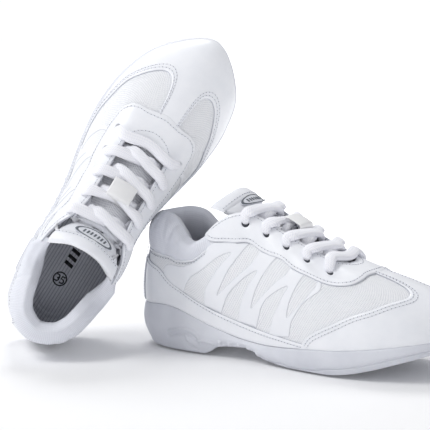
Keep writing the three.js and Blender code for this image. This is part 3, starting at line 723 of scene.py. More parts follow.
# ---- Insole -------------------------------------------------------------------------------
# A removable foam insole with a striped grey cloth top. Its heel cup has two embossed lines,
# and a size ring and a row of plain marks are printed on it.
INSOLE_RISE = 2.9
INSOLE_INSET = 2.4
INSOLE_COLUMNS, INSOLE_ROWS = 420, 26
EMBOSSED_DEPTH, EMBOSSED_WIDTH = 0.45, 0.9
EMBOSSED_RADII = (14.5, 18.5)
CUP_CENTRE, CUP_END = 34, 78
STRIPE_PITCH = 0.0021
PRINT_THICK = 0.12


def insole_material():
    m, t, b = new_material("striped_grey_insole")
    flat, _, across = flat_axes(t)
    line = remap(t, ribs_along(t, across, STRIPE_PITCH), -0.95, -0.1)
    nap = noise(t, flat, 700.0, 3.0)
    tone = blend_colour(t, line, srgb(190, 192, 202), srgb(232, 234, 241))
    t.links.new(blend_colour(t, remap(t, nap, 0.4, 0.75, 0.0, 0.35), tone, srgb(188, 190, 199)),
                b.inputs["Base Color"])
    b.inputs["Roughness"].default_value = 0.92
    b.inputs["Sheen Weight"].default_value = 0.2
    bump(t, line, 0.5, 0.0003, b.inputs["Normal"])
    return m


def insole_z(x, y):
    """Top of the insole: dished, with two embossed lines round the heel cup."""
    half = np.interp(x, LAST[:, 0], LAST[:, 1])
    side_rise = 1.6 * np.clip(np.abs(y) / np.maximum(half - 2, 4), 0, 1)**4
    cup = np.hypot(np.maximum(CUP_CENTRE - x, 0), y * 1.12)
    lines = sum(np.exp(-((cup - radius) / EMBOSSED_WIDTH)**2) for radius in EMBOSSED_RADII)
    embossed = -EMBOSSED_DEPTH * lines * (x < CUP_END)
    return np.interp(x, LAST[:, 0], LAST[:, 3]) + INSOLE_RISE + side_rise + embossed


grey_insole = insole_material()
for side in SIDES:
    k, f, out = feather_run(INSOLE_COLUMNS)
    e = f - out * INSOLE_INSET
    rows = []
    for t_in in np.linspace(0, 1, INSOLE_ROWS):
        x, y = run_in_plan(t_in, e[:, 0], e[:, 1])
        rows.append(np.stack([x, y, insole_z(x, y)], 1))
    rows.append(np.stack([e[:, 0], e[:, 1], f[:, 2] + 0.4], 1))
    x, y = run_in_plan(0.0, e[:, 0], e[:, 1])
    rows.append(np.stack([x, y, np.interp(x, LAST[:, 0], LAST[:, 3]) + 0.2], 1))
    g = np.stack(rows, 1)
    verts = g.reshape(-1, 3)
    faces = grid_faces(*g.shape[:2], wrap_cols=True)
    obj = make("insole", side, verts, faces, grey_insole, flat=verts[:, :2], weld=True)
    attach(obj, side, ("sockliner_rear", "sockliner_toe"), "bend")


def print_material():
    m, t, b = new_material("black_print")
    wear = noise(t, object_vector(t), 900.0, 4.0, 0.65)
    t.links.new(blend_colour(t, remap(t, wear, 0.55, 0.8, 0.0, 0.6), srgb(28, 29, 34), srgb(84, 86, 94)),
                b.inputs["Base Color"])
    b.inputs["Roughness"].default_value = 0.7
    return m


def printed(name, side, outlines):
    """Flat marks on the insole: each is an outer run and an optional inner run of (x, y)."""
    verts, faces = [], []
    for rim, hole in outlines:
        start = len(verts)
        n = len(rim)
        for lift in (0.03, PRINT_THICK):
            for run in (rim, hole) if hole is not None else (rim,):
                verts += [(px, py, insole_z(px, py) + lift) for px, py in run]
        if hole is None:
            faces.append(tuple(start + n + i for i in range(n)))
            faces.append(tuple(start + i for i in reversed(range(n))))
            faces += block_faces(start, n)
            continue
        for i in range(n):
            j = (i + 1) % n
            a, b, c, d = [start + m * n for m in range(4)]
            faces += [(c + i, c + j, d + j, d + i), (a + j, a + i, b + i, b + j)]
            faces += [(a + i, a + j, c + j, c + i), (b + j, b + i, d + i, d + j)]
    obj = make(name, side, np.array(verts), faces, black_print)
    attach(obj, side, (), "shoe")


def digit_outlines(text, height, at):
    """The size number: digits built from round pen strokes, read across the shoe."""
    strokes = {
        "3": [(0, 0.95), (0.25, 1), (0.5, 0.92), (0.55, 0.72), (0.45, 0.56), (0.22, 0.52), (0.48, 0.47),
              (0.6, 0.28), (0.52, 0.08), (0.28, 0), (0, 0.06)],
        "5": [(0.56, 1), (0.08, 1), (0.04, 0.56), (0.28, 0.62), (0.52, 0.5), (0.6, 0.3), (0.5, 0.08),
              (0.26, 0), (0, 0.06)],
    }
    out = []
    for n, digit in enumerate(text):
        line = np.array(strokes[digit]) * height + [(n - 1) * 0.85 * height + 0.12 * height, -height / 2]
        d = np.gradient(line, axis=0)
        d /= np.linalg.norm(d, axis=1)[:, None]
        side_step = np.stack([-d[:, 1], d[:, 0]], 1) * height * 0.1
        loop = np.vstack([line + side_step, (line - side_step)[::-1]])
        out.append(np.stack([at[0] + loop[:, 1], at[1] - loop[:, 0]], 1))
    return out


black_print = print_material()
RING_AT = np.array([42.8, 2.2])
RING_RADIUS, RING_WIDTH = 5.0, 0.9
DIGIT_HEIGHT = 4.6
BAR_COUNT, BAR_PITCH = 7, 4.8
BAR_AT = np.array([52.6, RING_AT[1]])
BAR_SHAPE = np.array([(0, -3.3), (2.5, -3.3), (3.6, 3.3), (1.1, 3.3)])
for side in SIDES:
    a = np.linspace(0, 2 * np.pi, 48, endpoint=False)
    circle = np.stack([np.cos(a), np.sin(a)], 1)
    marks = [(RING_AT + circle * RING_RADIUS, RING_AT + circle * (RING_RADIUS - RING_WIDTH))]
    mirror = 1 if side == "left" else -1
    digits = digit_outlines("35", DIGIT_HEIGHT, (RING_AT[0], 0.0))
    marks += [(loop * [1, mirror] + [0, RING_AT[1]], None) for loop in digits]
    # a plain row of slanting bars where a name would be
    marks += [(BAR_SHAPE + BAR_AT + [n * BAR_PITCH, 0], None) for n in range(BAR_COUNT)]
    printed("insole_print", side, marks)


# ---- Foxing, heel strip, toe cap and eyestay ----------------------------------------------
# Die-cut panels of coated synthetic leather, skived at the edge, laid on the knit and stitched.
# Each is drawn in the last's own (k, s), cut in the flat pattern and wrapped on.
PANEL_THICK, CAP_THICK, STAY_THICK = 1.0, 1.1, 1.35
PANEL_LIFT = 0.04
EDGE_ROUND = 0.6
CUT_EDGE_SHADE_WIDTH = 0.35
PANEL_GRID = 2.3
FOXING_END, CAP_END = 12.75, 12.5
FOXING_TOP = [
    (0, 0.482), (0.9, 0.482), (1.7, 0.44), (2.5, 0.39), (3.46, 0.279), (4.77, 0.253), (6.04, 0.226),
    (7.67, 0.172), (9.13, 0.141), (10.59, 0.114), (11.84, 0.085), (12.75, 0.045)]
CAP_EDGE = [
    (12.5, 0.004), (12.85, 0.112), (13.33, 0.182), (13.99, 0.269), (14.46, 0.342), (14.99, 0.405),
    (15.47, 0.468), (15.87, 0.505), (16.12, 0.53), (16.3, 0.575), (16.42, 0.64), (16.47, 0.745),
    (16.43, 0.83), (16.4, 0.9)]
CAP_EDGE_IN = [
    (12.5, 0.004), (12.85, 0.112), (13.33, 0.2), (13.99, 0.33), (14.5, 0.455), (14.9, 0.493),
    (15.4, 0.508), (15.8, 0.512), (16.08, 0.53), (16.24, 0.57), (16.32, 0.625), (16.25, 0.725), (16.08, 0.81),
    (16.0, 0.9)]
STAY_EDGE = [
    (7.15, 0.985), (7.2, 0.94), (7.42, 0.87), (7.96, 0.785), (9.19, 0.71), (10.13, 0.7), (10.78, 0.674),
    (11.31, 0.669), (11.96, 0.687), (12.49, 0.652), (13.36, 0.641), (14.22, 0.646), (14.77, 0.68),
    (15.3, 0.75), (15.75, 0.81), (16.3, 0.837), (17, 0.845)]
EYELETS = [(14.06, 0.8), (13.06, 0.82), (12.13, 0.84), (11.11, 0.845), (9.85, 0.867)]
EYELET_RADIUS = 2.5


def leather_group():
    """Coated synthetic leather: rolled pores, slack creases and a slow drift of tone."""
    g, gi, go = shader_group("coated_leather_grain", [
        ("Vector", "NodeSocketVector", None), ("Grain", "NodeSocketFloat", 0.0006),
        ("Crease", "NodeSocketFloat", 0.3),
    ], [("Height", "NodeSocketFloat"), ("Tone", "NodeSocketFloat")])
    scaled = g.nodes.new("ShaderNodeVectorMath")
    scaled.operation = "SCALE"
    g.links.new(gi.outputs["Vector"], scaled.inputs[0])
    g.links.new(calc(g, "DIVIDE", 1.0, gi.outputs["Grain"]), scaled.inputs["Scale"])
    pores = g.nodes.new("ShaderNodeTexVoronoi")
    pores.feature = "SMOOTH_F1"
    pores.inputs["Scale"].default_value = 1.0
    g.links.new(scaled.outputs[0], pores.inputs["Vector"])
    slack = noise(g, gi.outputs["Vector"], 110.0, 4.0, 0.6)
    slow = noise(g, gi.outputs["Vector"], 24.0, 2.0)
    height = calc(g, "ADD", calc(g, "MULTIPLY", pores.outputs["Distance"], 0.3),
                  calc(g, "MULTIPLY", slack, gi.outputs["Crease"]))
    g.links.new(height, go.inputs["Height"])
    g.links.new(calc(g, "MULTIPLY", calc(g, "ADD", slack, slow), 0.5), go.inputs["Tone"])
    return g


COATED_LEATHER = leather_group()


def leather_material(name, light, shade, rough, grain=0.0006, crease=0.35, depth=0.00012, cut_edge_and_shade=None):
    m, t, b = new_material(name)
    skin = t.nodes.new("ShaderNodeGroup")
    skin.node_tree = COATED_LEATHER
    skin.inputs["Grain"].default_value = grain
    skin.inputs["Crease"].default_value = crease
    t.links.new(object_vector(t), skin.inputs["Vector"])
    tone = blend_colour(t, remap(t, skin.outputs["Tone"], 0.35, 0.65), shade, light)
    # a darker band along the cut edge: partly the raw edge's own colour, partly painted shade
    if cut_edge_and_shade is not None:
        edge = t.nodes.new("ShaderNodeAttribute")
        edge.attribute_name = "edge"
        tone = blend_colour(t, remap(t, edge.outputs["Fac"], 0.25, 1.0), tone, cut_edge_and_shade)
    t.links.new(tone, b.inputs["Base Color"])
    t.links.new(remap(t, skin.outputs["Tone"], 0.3, 0.7, rough - 0.05, rough + 0.07), b.inputs["Roughness"])
    bump(t, skin.outputs["Height"], 0.4, depth, b.inputs["Normal"])
    return m


def drawn(points, step=0.8):
    """A smooth run through (k, s) points in the flat pattern, evenly stepped."""
    p = flat_of(np.array(points, float))
    p = np.vstack([2 * p[0] - p[1], p, 2 * p[-1] - p[-2]])
    out = []
    for a, b, c, d in zip(p[:-3], p[1:-2], p[2:-1], p[3:]):
        ta, tb, tc = [max(np.linalg.norm(v), 1e-3)**0.5 for v in (b - a, c - b, d - c)]
        m1 = tb * ((b - a) / ta - (c - a) / (ta + tb) + (c - b) / tb)
        m2 = tb * ((c - b) / tb - (d - b) / (tb + tc) + (d - c) / tc)
        n = max(2, int(np.linalg.norm(c - b) / step))
        w = (np.arange(n) / n)[:, None]
        out.append((2 * w**3 - 3 * w**2 + 1) * b + (w**3 - 2 * w**2 + w) * m1
                   + (3 * w**2 - 2 * w**3) * c + (w**3 - w**2) * m2)
    return np.vstack([*out, p[-2:-1]])


def level(k0, k1, s, steps):
    """A run at a steady height from k0 to k1."""
    return flat_of(np.stack([np.linspace(k0, k1, steps), np.full(steps, s)], 1))


SAME_POINT = 0.25


def join(*runs):
    """One closed outline from runs that meet end to end."""
    out = [runs[0]]
    for r in runs[1:]:
        out.append(r[1:] if np.linalg.norm(r[0] - out[-1][-1]) < SAME_POINT else r)
    loop = np.vstack(out)
    if np.linalg.norm(loop[0] - loop[-1]) < SAME_POINT:
        loop = loop[:-1]
    return loop


def far_side(points):
    return [(AROUND - k, s) for k, s in reversed(points)]


def inside(poly, pts):
    x, y = pts[:, 0], pts[:, 1]
    hit = np.zeros(len(pts), bool)
    for (a, b), (c, d) in zip(poly, np.roll(poly, -1, 0)):
        if b != d:
            hit ^= ((b > y) != (d > y)) & (x < (c - a) * (y - b) / (d - b) + a)
    return hit


def gap_to(poly, pts):
    """Distance from points to a closed outline."""
    best = np.full(len(pts), 1e9)
    for p, q in zip(poly, np.roll(poly, -1, 0)):
        d = q - p
        t = np.clip(((pts - p) @ d) / max(d @ d, 1e-9), 0, 1)
        best = np.minimum(best, np.linalg.norm(pts - p - t[:, None] * d, axis=1))
    return best


def inset(loop, by):
    d = np.roll(loop, -1, 0) - np.roll(loop, 1, 0)
    d /= np.maximum(np.linalg.norm(d, axis=1), 1e-9)[:, None]
    n = np.stack([-d[:, 1], d[:, 0]], 1)
    area = np.sum(loop[:, 0] * np.roll(loop[:, 1], -1) - np.roll(loop[:, 0], -1) * loop[:, 1])
    return loop + n * by * np.sign(area)


def cut_panel(name, side, outline, mat, thick=PANEL_THICK, holes=(), relief=None, grid=PANEL_GRID):
    """A die-cut panel with a rounded edge, wrapped on the last."""
    loops = [outline, *holes]
    lo, hi = outline.min(0), outline.max(0)
    gx, gy = np.meshgrid(
        np.arange(lo[0], hi[0], grid), np.arange(lo[1], hi[1], grid * 0.87), indexing="ij")
    gx[:, 1::2] += grid / 2
    pts = np.stack([gx.ravel(), gy.ravel()], 1)
    pts = pts[inside(outline, pts)]
    gap = np.min([gap_to(l, pts) for l in loops], axis=0)
    keep = gap > EDGE_ROUND + 0.8
    for h in holes:
        keep &= ~inside(h, pts)
    rims = []
    for n, l in enumerate(loops):
        for f in (0.3, 1.0):
            q = inset(l, (f if n == 0 else -f) * EDGE_ROUND)
            far = np.min([gap_to(m, q) for m in loops], axis=0)
            rims.append(q[far > f * EDGE_ROUND * 0.93])
    edges, start = [], 0
    for l in loops:
        edges += [(start + i, start + (i + 1) % len(l)) for i in range(len(l))]
        start += len(l)
    cloud = np.vstack([*loops, *rims, pts[keep]])
    v2, _, tri, *_ = delaunay_2d_cdt([Vector(p) for p in cloud], edges, [], 1, 1e-5)
    v2 = np.array([tuple(v) for v in v2])
    tri = np.array([t for t in tri if len(t) == 3])
    middle = v2[tri].mean(1)
    keep = inside(outline, middle)
    for h in holes:
        keep &= ~inside(h, middle)
    tri = tri[keep]
    a, b = v2[tri[:, 1]] - v2[tri[:, 0]], v2[tri[:, 2]] - v2[tri[:, 0]]
    area = a[:, 0] * b[:, 1] - a[:, 1] * b[:, 0]
    tri, area = tri[np.abs(area) > 1e-7], area[np.abs(area) > 1e-7]
    tri[area < 0] = tri[area < 0][:, ::-1]
    used = np.unique(tri)
    renumber = np.full(len(v2), -1)
    renumber[used] = np.arange(len(used))
    v2, tri = v2[used], renumber[tri]
    gap = np.min([gap_to(l, v2) for l in loops], axis=0)
    w = np.clip(gap / EDGE_ROUND, 0, 1)
    base = np.full(len(v2), PANEL_LIFT)
    height = base + thick * (0.3 + 0.7 * np.sqrt(1 - (1 - w)**2))
    ks = k_of(v2)
    if relief is not None:
        raised = relief(ks, gap)
        height = height + raised
        base = base + np.minimum(raised, 0)
    n = len(v2)
    verts = np.vstack([over(ks[:, 0], ks[:, 1], height), over(ks[:, 0], ks[:, 1], base)])
    faces = [tuple(t[::-1]) for t in tri.tolist()] + [tuple(i + n for i in t) for t in tri.tolist()]
    sides = {(a, b) for t in tri.tolist() for a, b in ((t[0], t[1]), (t[1], t[2]), (t[2], t[0]))}
    faces += [(a, b, b + n, a + n) for a, b in sides if (b, a) not in sides]
    # where the cut edge is darkened: partly its own colour, partly painted shade
    edge = np.concatenate([np.clip(1 - gap / CUT_EDGE_SHADE_WIDTH, 0, 1), np.ones(n)])
    return make(name, side, verts, faces, mat, flat=np.vstack([v2, v2]), edge=edge)


white_leather = leather_material(
    "white_coated_leather", srgb(245, 246, 250), srgb(238, 240, 245), 0.36, cut_edge_and_shade=srgb(188, 191, 200))
stitch_rows = {"right": [], "left": []}


THREAD_LIFT = 0.12


def seam(side, run, lift=PANEL_THICK):
    """Keep a row of points on the panel's face for the stitcher."""
    ks = k_of(run)
    stitch_rows[side].append(over(ks[:, 0], ks[:, 1], lift + THREAD_LIFT))


def trim(run, start, end):
    """Cut lengths off both ends of a run."""
    d = np.concatenate([[0], np.cumsum(np.linalg.norm(np.diff(run, axis=0), axis=1))])
    return run[(d >= start) & (d <= d[-1] - end)]


def parallel(run, by):
    """A run beside another one."""
    d = np.gradient(run, axis=0)
    d /= np.maximum(np.linalg.norm(d, axis=1), 1e-9)[:, None]
    return run + np.stack([-d[:, 1], d[:, 0]], 1) * by


def heel_strip_relief(ks, gap):
    """Over the foxing the strip steps up; a bead runs down each edge."""
    step = PANEL_THICK * np.clip((0.52 - ks[:, 1]) / 0.05, 0, 1)
    return step + 0.25 * np.exp(-((gap - 1.6) / 0.5)**2)


def stay_creases(ks, gap):
    """Slack in the waist of the eyestay, beside the eyelets."""
    k, s = fold(ks[:, 0]), ks[:, 1]
    fade = np.clip(gap / 3, 0, 1)
    return fade * 0.25 * np.sin(k * 5.1 + s * 23) * np.exp(-((s - 0.74) / 0.05)**2)


def cap_relief(ks, gap):
    """The folded bead along the cap's seam."""
    near_seam = ks[:, 1] > 0.08
    return 0.18 * np.exp(-((gap - 1.0) / 0.45)**2) * near_seam


for side in SIDES:
    top_run = drawn([(-k, s) for k, s in reversed(FOXING_TOP[1:])] + FOXING_TOP)
    outline = join(top_run, level(FOXING_END, -FOXING_END, 0.006, steps=160))
    obj = cut_panel("foxing", side, outline, white_leather)
    attach(obj, side, ("foxing",), "shoe")
    seam(side, trim(parallel(top_run, -2.1), 4, 4))

    strip = drawn([(-1.02, 0.02), (-1.0, 0.3), (-0.92, 0.6), (-0.95, 0.9)])
    strip_end = drawn([(-0.95, 0.9), (-0.5, 0.925), (0, 0.93), (0.5, 0.925), (0.95, 0.9)])
    strip_back = drawn([(0.95, 0.9), (0.92, 0.6), (1.0, 0.3), (1.02, 0.02)])
    outline = join(strip, strip_end, strip_back, level(1.02, -1.02, 0.02, steps=12))
    obj = cut_panel("heel_strip", side, outline, white_leather, relief=heel_strip_relief, grid=1.6)
    attach(obj, side, ("heel_strip",), "shoe")
    for run in (strip, strip_back):
        seam(side, trim(parallel(run, -1.3), 3, 4), lift=2 * PANEL_THICK)

    near, far = drawn(CAP_EDGE), drawn(far_side(CAP_EDGE_IN))
    across = level(16.4, AROUND - 16.0, 0.9, steps=14)
    outline = join(near, across, far, level(AROUND - CAP_END, CAP_END, 0.004, steps=200))
    obj = cut_panel("toe_cap", side, outline, white_leather, thick=CAP_THICK, relief=cap_relief)
    attach(obj, side, ("toe_cap", "cap_wing_lateral", "cap_wing_medial", "vamp_strip"), "bend")
    for run in (near, far):
        for by in (-2.0, -4.2):
            seam(side, trim(parallel(run, by), 5, 5), lift=CAP_THICK)

    holes = []
    for k0, s0 in EYELETS + far_side(EYELETS):
        turn = np.linspace(0, 2 * np.pi, 22, endpoint=False)
        around = np.linalg.norm(last(k0 + 0.1, s0) - last(k0 - 0.1, s0))
        flat_around = np.interp(k0 + 0.1, ring_k, ring_u) - np.interp(k0 - 0.1, ring_k, ring_u)
        up = np.linalg.norm(last(k0, s0 + 0.02) - last(k0, s0 - 0.02))
        stretch = np.array([flat_around / around, CLIMB * 0.04 / up])
        circle = np.stack([np.cos(turn), np.sin(turn)], 1) * EYELET_RADIUS
        holes.append(flat_of((k0, s0)) + circle * stretch)
    low = drawn(STAY_EDGE + far_side(STAY_EDGE)[1:])
    outline = join(low, level(AROUND - 7.15, 7.15, 0.999, steps=260))
    obj = cut_panel(
        "eyestay", side, outline, white_leather, thick=STAY_THICK, holes=holes, relief=stay_creases)
    attach(obj, side, ("eyestay",), "bend")
    seam(side, trim(parallel(low, 2.2), 5, 5), lift=STAY_THICK)
    throat_row = [(7.5, 0.965), *[(k, 0.955) for k in np.linspace(8, AROUND - 8, 60)], (AROUND - 7.5, 0.965)]
    seam(side, trim(drawn(throat_row), 2, 2), lift=1.3)


# ---- Fused film ---------------------------------------------------------------------------
# A thin film is heat-fused to each quarter. Slanting leaf-shaped windows are cut in it, so it
# reads as a zigzag of flames over the knit.
FILM_THICK = 0.32
FILM_GRID = 2.6
FILM_TOP = [
    (3.3, 0.47), (4.2, 0.53), (5.3, 0.645), (6.3, 0.735), (7.1, 0.79), (7.6, 0.8), (8.3, 0.755), (9.2, 0.715)]
WINDOWS_FROM_TOP = [
    [(10.1, 0.7), (9.33, 0.6), (8.55, 0.5), (8.1, 0.42), (7.68, 0.33), (8.3, 0.385), (9.0, 0.45),
     (9.7, 0.51), (10.3, 0.575), (10.85, 0.675)],
    [(11.75, 0.69), (11.2, 0.56), (10.6, 0.44), (10.2, 0.35), (9.95, 0.26), (10.5, 0.325), (11.15, 0.41),
     (11.7, 0.5), (12.2, 0.59), (12.4, 0.66)],
    [(13.0, 0.65), (12.68, 0.54), (12.4, 0.44), (12.15, 0.34), (12.02, 0.25), (12.4, 0.315), (12.75, 0.385),
     (13.1, 0.47), (13.4, 0.56), (13.55, 0.645)]]
WINDOWS_FROM_SOLE = [
    [(4.6, 0.25), (4.9, 0.38), (5.7, 0.53), (6.7, 0.6), (7.75, 0.635), (8.93, 0.637), (8.3, 0.58),
     (7.6, 0.51), (6.9, 0.42), (6.6, 0.33), (6.5, 0.21)],
    [(7.8, 0.165), (8.4, 0.32), (9.3, 0.425), (10.53, 0.515), (10.1, 0.445), (9.68, 0.37), (9.25, 0.27),
     (9.0, 0.14)],
    [(10.2, 0.12), (10.75, 0.3), (11.45, 0.4), (12.2, 0.485), (11.92, 0.4), (11.62, 0.31), (11.3, 0.22),
     (11.0, 0.1)]]
FILM_FRONT = [
    (13.7, 0.64), (13.62, 0.56), (13.3, 0.48), (12.85, 0.39), (12.5, 0.3), (12.2, 0.21), (12.05, 0.1)]
FILM_FOOT = [(12.05, 0.1), (11.3, 0.09)]
FILM_BACK = [(4.5, 0.24), (3.6, 0.26), (2.9, 0.33), (2.9, 0.42), (3.3, 0.47)]
FILM_RUNS = [FILM_TOP, *WINDOWS_FROM_TOP, FILM_FRONT, FILM_FOOT,
             *[window[::-1] for window in WINDOWS_FROM_SOLE[::-1]], FILM_BACK]
film_white = leather_material(
    "fused_white_film", srgb(243, 244, 248), srgb(238, 240, 245), 0.5, grain=0.0009,
    cut_edge_and_shade=srgb(206, 209, 217))


def film_wrinkles(ks, gap):
    """Soft creases that fan out from the collar's corner into the quarter."""
    k, s = fold(ks[:, 0]), ks[:, 1]
    fan = np.sin((s - 0.55) * 46 - (k - 6) * 1.6)
    return 0.22 * np.clip(gap / 2, 0, 1) * np.clip(fan, 0, 1) * np.exp(-((k - 7.2) / 2.4)**2)


for side in SIDES:
    for which, turn in (("lateral", 1), ("medial", -1)):
        loop = join(*[drawn([(turn * k, s) for k, s in run]) for run in FILM_RUNS])
        obj = cut_panel(
            f"film_{which}", side, loop, film_white, thick=FILM_THICK, grid=FILM_GRID, relief=film_wrinkles)
        attach(obj, side, (), "bend")


# ---- Eyelet holes -------------------------------------------------------------------------
# The eyelets are punched, with no metal. A dark disc sits in each hole: painted shade that
# stands for the shadowed inside of the shoe round the lace.
EYELET_SIDES = 20
EYELET_COVER = 1.15
EYELET_DEPTHS = (0.0, 0.2)


def eyelet_shade_material():
    m, t, b = new_material("eyelet_shadow")
    # painted shade, mottled a little
    shade_mottle = noise(t, object_vector(t), 1500.0, 3.0)
    t.links.new(blend_colour(t, shade_mottle, srgb(62, 64, 70), srgb(90, 92, 100)), b.inputs["Base Color"])
    b.inputs["Roughness"].default_value = 0.95
    return m


eyelet_shadow = eyelet_shade_material()
for side in SIDES:
    verts, faces = [], []
    for k0, s0 in EYELETS + far_side(EYELETS):
        centre, n = over(k0, s0, 0.08), last_normal(np.array(k0), np.array(s0))
        one = np.cross(n, UP)
        one /= np.linalg.norm(one)
        two = np.cross(n, one)
        start = len(verts)
        for lift in EYELET_DEPTHS:
            for a in np.linspace(0, 2 * np.pi, EYELET_SIDES, endpoint=False):
                out = (one * math.cos(a) + two * math.sin(a)) * EYELET_RADIUS * EYELET_COVER
                verts.append(centre + n * lift + out)
        faces.append(tuple(start + i for i in range(EYELET_SIDES)))
        faces.append(tuple(start + EYELET_SIDES + i for i in reversed(range(EYELET_SIDES))))
        faces += [f[::-1] for f in block_faces(start, EYELET_SIDES)]
    obj = make("eyelet_shade_discs", side, np.array(verts), faces, eyelet_shadow)
    attach(obj, side, (), "bend")


# ---- Collar -------------------------------------------------------------------------------
# A thick foam roll in soft white ribbed textile round the ankle, high at the heel tab and low
# at the sides. It creases where it dips, and a piped seam joins it to the quarters.
COLLAR_END = 7.6
COLLAR_SEAM = [
    (0, 0.6), (1, 0.58), (2.0, 0.55), (2.7, 0.535), (3.8, 0.565), (5.3, 0.7), (6.77, 0.775), (7.6, 0.79)]
COLLAR_DEEP = 9.6
COLLAR_SWELL = 3.6
COLLAR_COLUMNS = 220
OUTER_FACE = 0.42
CREASES = [  # k, height up the collar, slant, half width, depth
    (3.35, 0.62, 0.9, 0.16, 1.1), (2.55, 0.55, -0.6, 0.13, 0.7), (4.3, 0.7, 0.5, 0.14, 0.5),
    (0.9, 0.3, 1.4, 0.12, 0.6), (1.7, 0.45, 0.5, 0.12, 0.45)]
COLLAR_RIB_PITCH, COLLAR_KNOT_PITCH = 0.0012, 0.0013


def collar_material():
    m, t, b = new_material("ribbed_white_collar_textile")
    flat, around, girth = flat_axes(t)
    rib = ribs_along(t, around, COLLAR_RIB_PITCH)
    knot = ribs_along(t, girth, COLLAR_KNOT_PITCH)
    weave = calc(t, "MULTIPLY", calc(t, "ADD", rib, calc(t, "MULTIPLY", knot, 0.5)), 0.66)
    nap = noise(t, flat, 500.0, 3.0, 0.6)
    tone = blend_colour(t, remap(t, weave, -0.9, 0.4), srgb(222, 224, 233), srgb(236, 238, 245))
    t.links.new(blend_colour(t, remap(t, nap, 0.4, 0.7, 0.0, 0.4), tone, srgb(228, 230, 238)),
                b.inputs["Base Color"])
    b.inputs["Roughness"].default_value = 0.9
    b.inputs["Sheen Weight"].default_value = 0.3
    b.inputs["Sheen Roughness"].default_value = 0.4
    bump(t, calc(t, "ADD", weave, calc(t, "MULTIPLY", nap, 0.6)), 0.35, 0.0002, b.inputs["Normal"])
    return m


def collar_seam(k):
    table = np.array(COLLAR_SEAM)
    return np.interp(fold(k), table[:, 0], table[:, 1])


def spline_ring(points, per):
    """A closed smooth section through points."""
    n = len(points)
    out = []
    for i in range(n):
        a, b, c, d = [points[(i + m) % n] for m in (-1, 0, 1, 2)]
        for w in np.arange(per) / per:
            out.append(curve_through(a, b, c, d, w))
    return np.array(out)


def collar_section(k):
    """The roll's ring of points at k, from the seam over the crown and down the inner face."""
    lo = float(collar_seam(k))
    end = np.clip((COLLAR_END - abs(k)) / 0.9, 0, 1)
    swell_out = COLLAR_SWELL * end
    deep = -COLLAR_DEEP * (0.5 + 0.5 * np.clip((COLLAR_END - abs(k)) / 2.4, 0, 1))

    def p(t, off):
        return over(k, lo + (1 - lo) * t, off)

    crown = last(np.array(k), np.array(1.0))
    n = last_normal(np.array(k), np.array(0.95))
    points = [
        p(0.0, 0.4 * end - 0.2), p(0.22, end + swell_out * 0.55 - 0.2), p(0.5, 0.8 * end + swell_out - 0.2),
        p(0.78, 0.6 * end + swell_out * 0.7 - 0.2), p(0.95, 0.2 * end - 0.2),
        crown + UP * 1.2 - n * 2.6, crown + UP * 0.5 - n * 5.2, p(0.93, deep * 0.86),
        p(0.7, deep * 1.02), p(0.38, deep * 0.92), p(0.1, deep * 0.62), p(-0.04, -3.0)]
    ring = spline_ring(np.array(points), 4)
    turn = np.arange(len(ring)) / len(ring)
    for ck, rise, slant, half, depth in CREASES:
        # the outer face is the first part of the ring, from the seam up to the crown
        t = turn / OUTER_FACE
        dist = (abs(k) - ck - slant * (t - rise)) / half
        dip = depth * np.exp(-dist**2) * np.exp(-((t - rise) / 0.42)**2) * (turn < 0.5)
        if k > 0 or ck < 2:
            ring = ring - n * dip[:, None]
    return ring


white_textile = collar_material()
for side in SIDES:
    ks = np.linspace(-COLLAR_END, COLLAR_END, COLLAR_COLUMNS)
    g = np.stack([collar_section(k) for k in ks])
    c, r = g.shape[:2]
    faces = grid_faces(c, r, wrap_rows=True) + end_caps(c, r)
    around_rim = np.interp(ks, ring_k, ring_u)
    girth = np.concatenate([[0], np.cumsum(np.linalg.norm(np.diff(g[c // 2], axis=0), axis=1))])
    flat = np.stack(np.meshgrid(around_rim, girth, indexing="ij"), -1).reshape(-1, 2)
    obj = make("collar", side, g.reshape(-1, 3), faces, white_textile, flat=flat)
    attach(obj, side, ("collar",), "shoe")


# ---- Piping -------------------------------------------------------------------------------
# A narrow cord covered in white leather is sewn in along the collar's lower seam.
PIPING_END = 7.3
PIPING_RADIUS = 0.62
PIPING_LIFT = 0.55


def tube(points, radius, sides=8):
    """A thin round cord along points, tapered shut at both ends."""
    n = len(points)
    ahead = np.gradient(points, axis=0)
    ahead /= np.linalg.norm(ahead, axis=1)[:, None]
    ref = np.cross(ahead, UP)
    ref /= np.maximum(np.linalg.norm(ref, axis=1), 1e-6)[:, None]
    two = np.cross(ahead, ref)
    size = np.full(n, float(radius))
    size[[0, -1]] *= 0.15
    size[[1, -2]] *= 0.75
    a = np.linspace(0, 2 * np.pi, sides, endpoint=False)
    ring = ref[:, None] * np.cos(a)[None, :, None] + two[:, None] * np.sin(a)[None, :, None]
    g = points[:, None] + ring * size[:, None, None]
    return g.reshape(-1, 3), grid_faces(n, sides, wrap_rows=True) + end_caps(n, sides)


for side in SIDES:
    ks = np.linspace(-PIPING_END, PIPING_END, 180)
    verts, faces = tube(over(ks, collar_seam(ks) - 0.004, PIPING_LIFT), PIPING_RADIUS)
    obj = make("collar_piping", side, verts, faces, white_leather, edge=np.zeros(len(verts)))
    attach(obj, side, (), "shoe")
    seam(side, flat_of(np.stack([ks[4:-4], collar_seam(ks[4:-4]) - 0.03], 1)), lift=0.5)


# ---- Tongue -------------------------------------------------------------------------------
# A padded tongue faced with grey-white air mesh lies under the laces from the throat up to
# the fold line of its leather top. Its last stretch is faced with the top's leather.
TONGUE_THICK = 4.0
TONGUE_UNDER = -5.7
TONGUE_END_LINE = (88.2, 95.1, 15.9, 6, 3)  # x, z, half width, drop, sweep
PAD_ROUND = 2.0
TONGUE_LEATHER_FROM = 0.74
TONGUE_STATIONS = (16.2, 15.4, 14.6, 13.8, 13, 12.2, 11.4, 10.6, 9.9)


def crown_of_throat(k):
    t = last(np.array(float(k)), np.array(1.0))
    return np.array([t[0] - 0.4, 0, t[2] - 0.6])


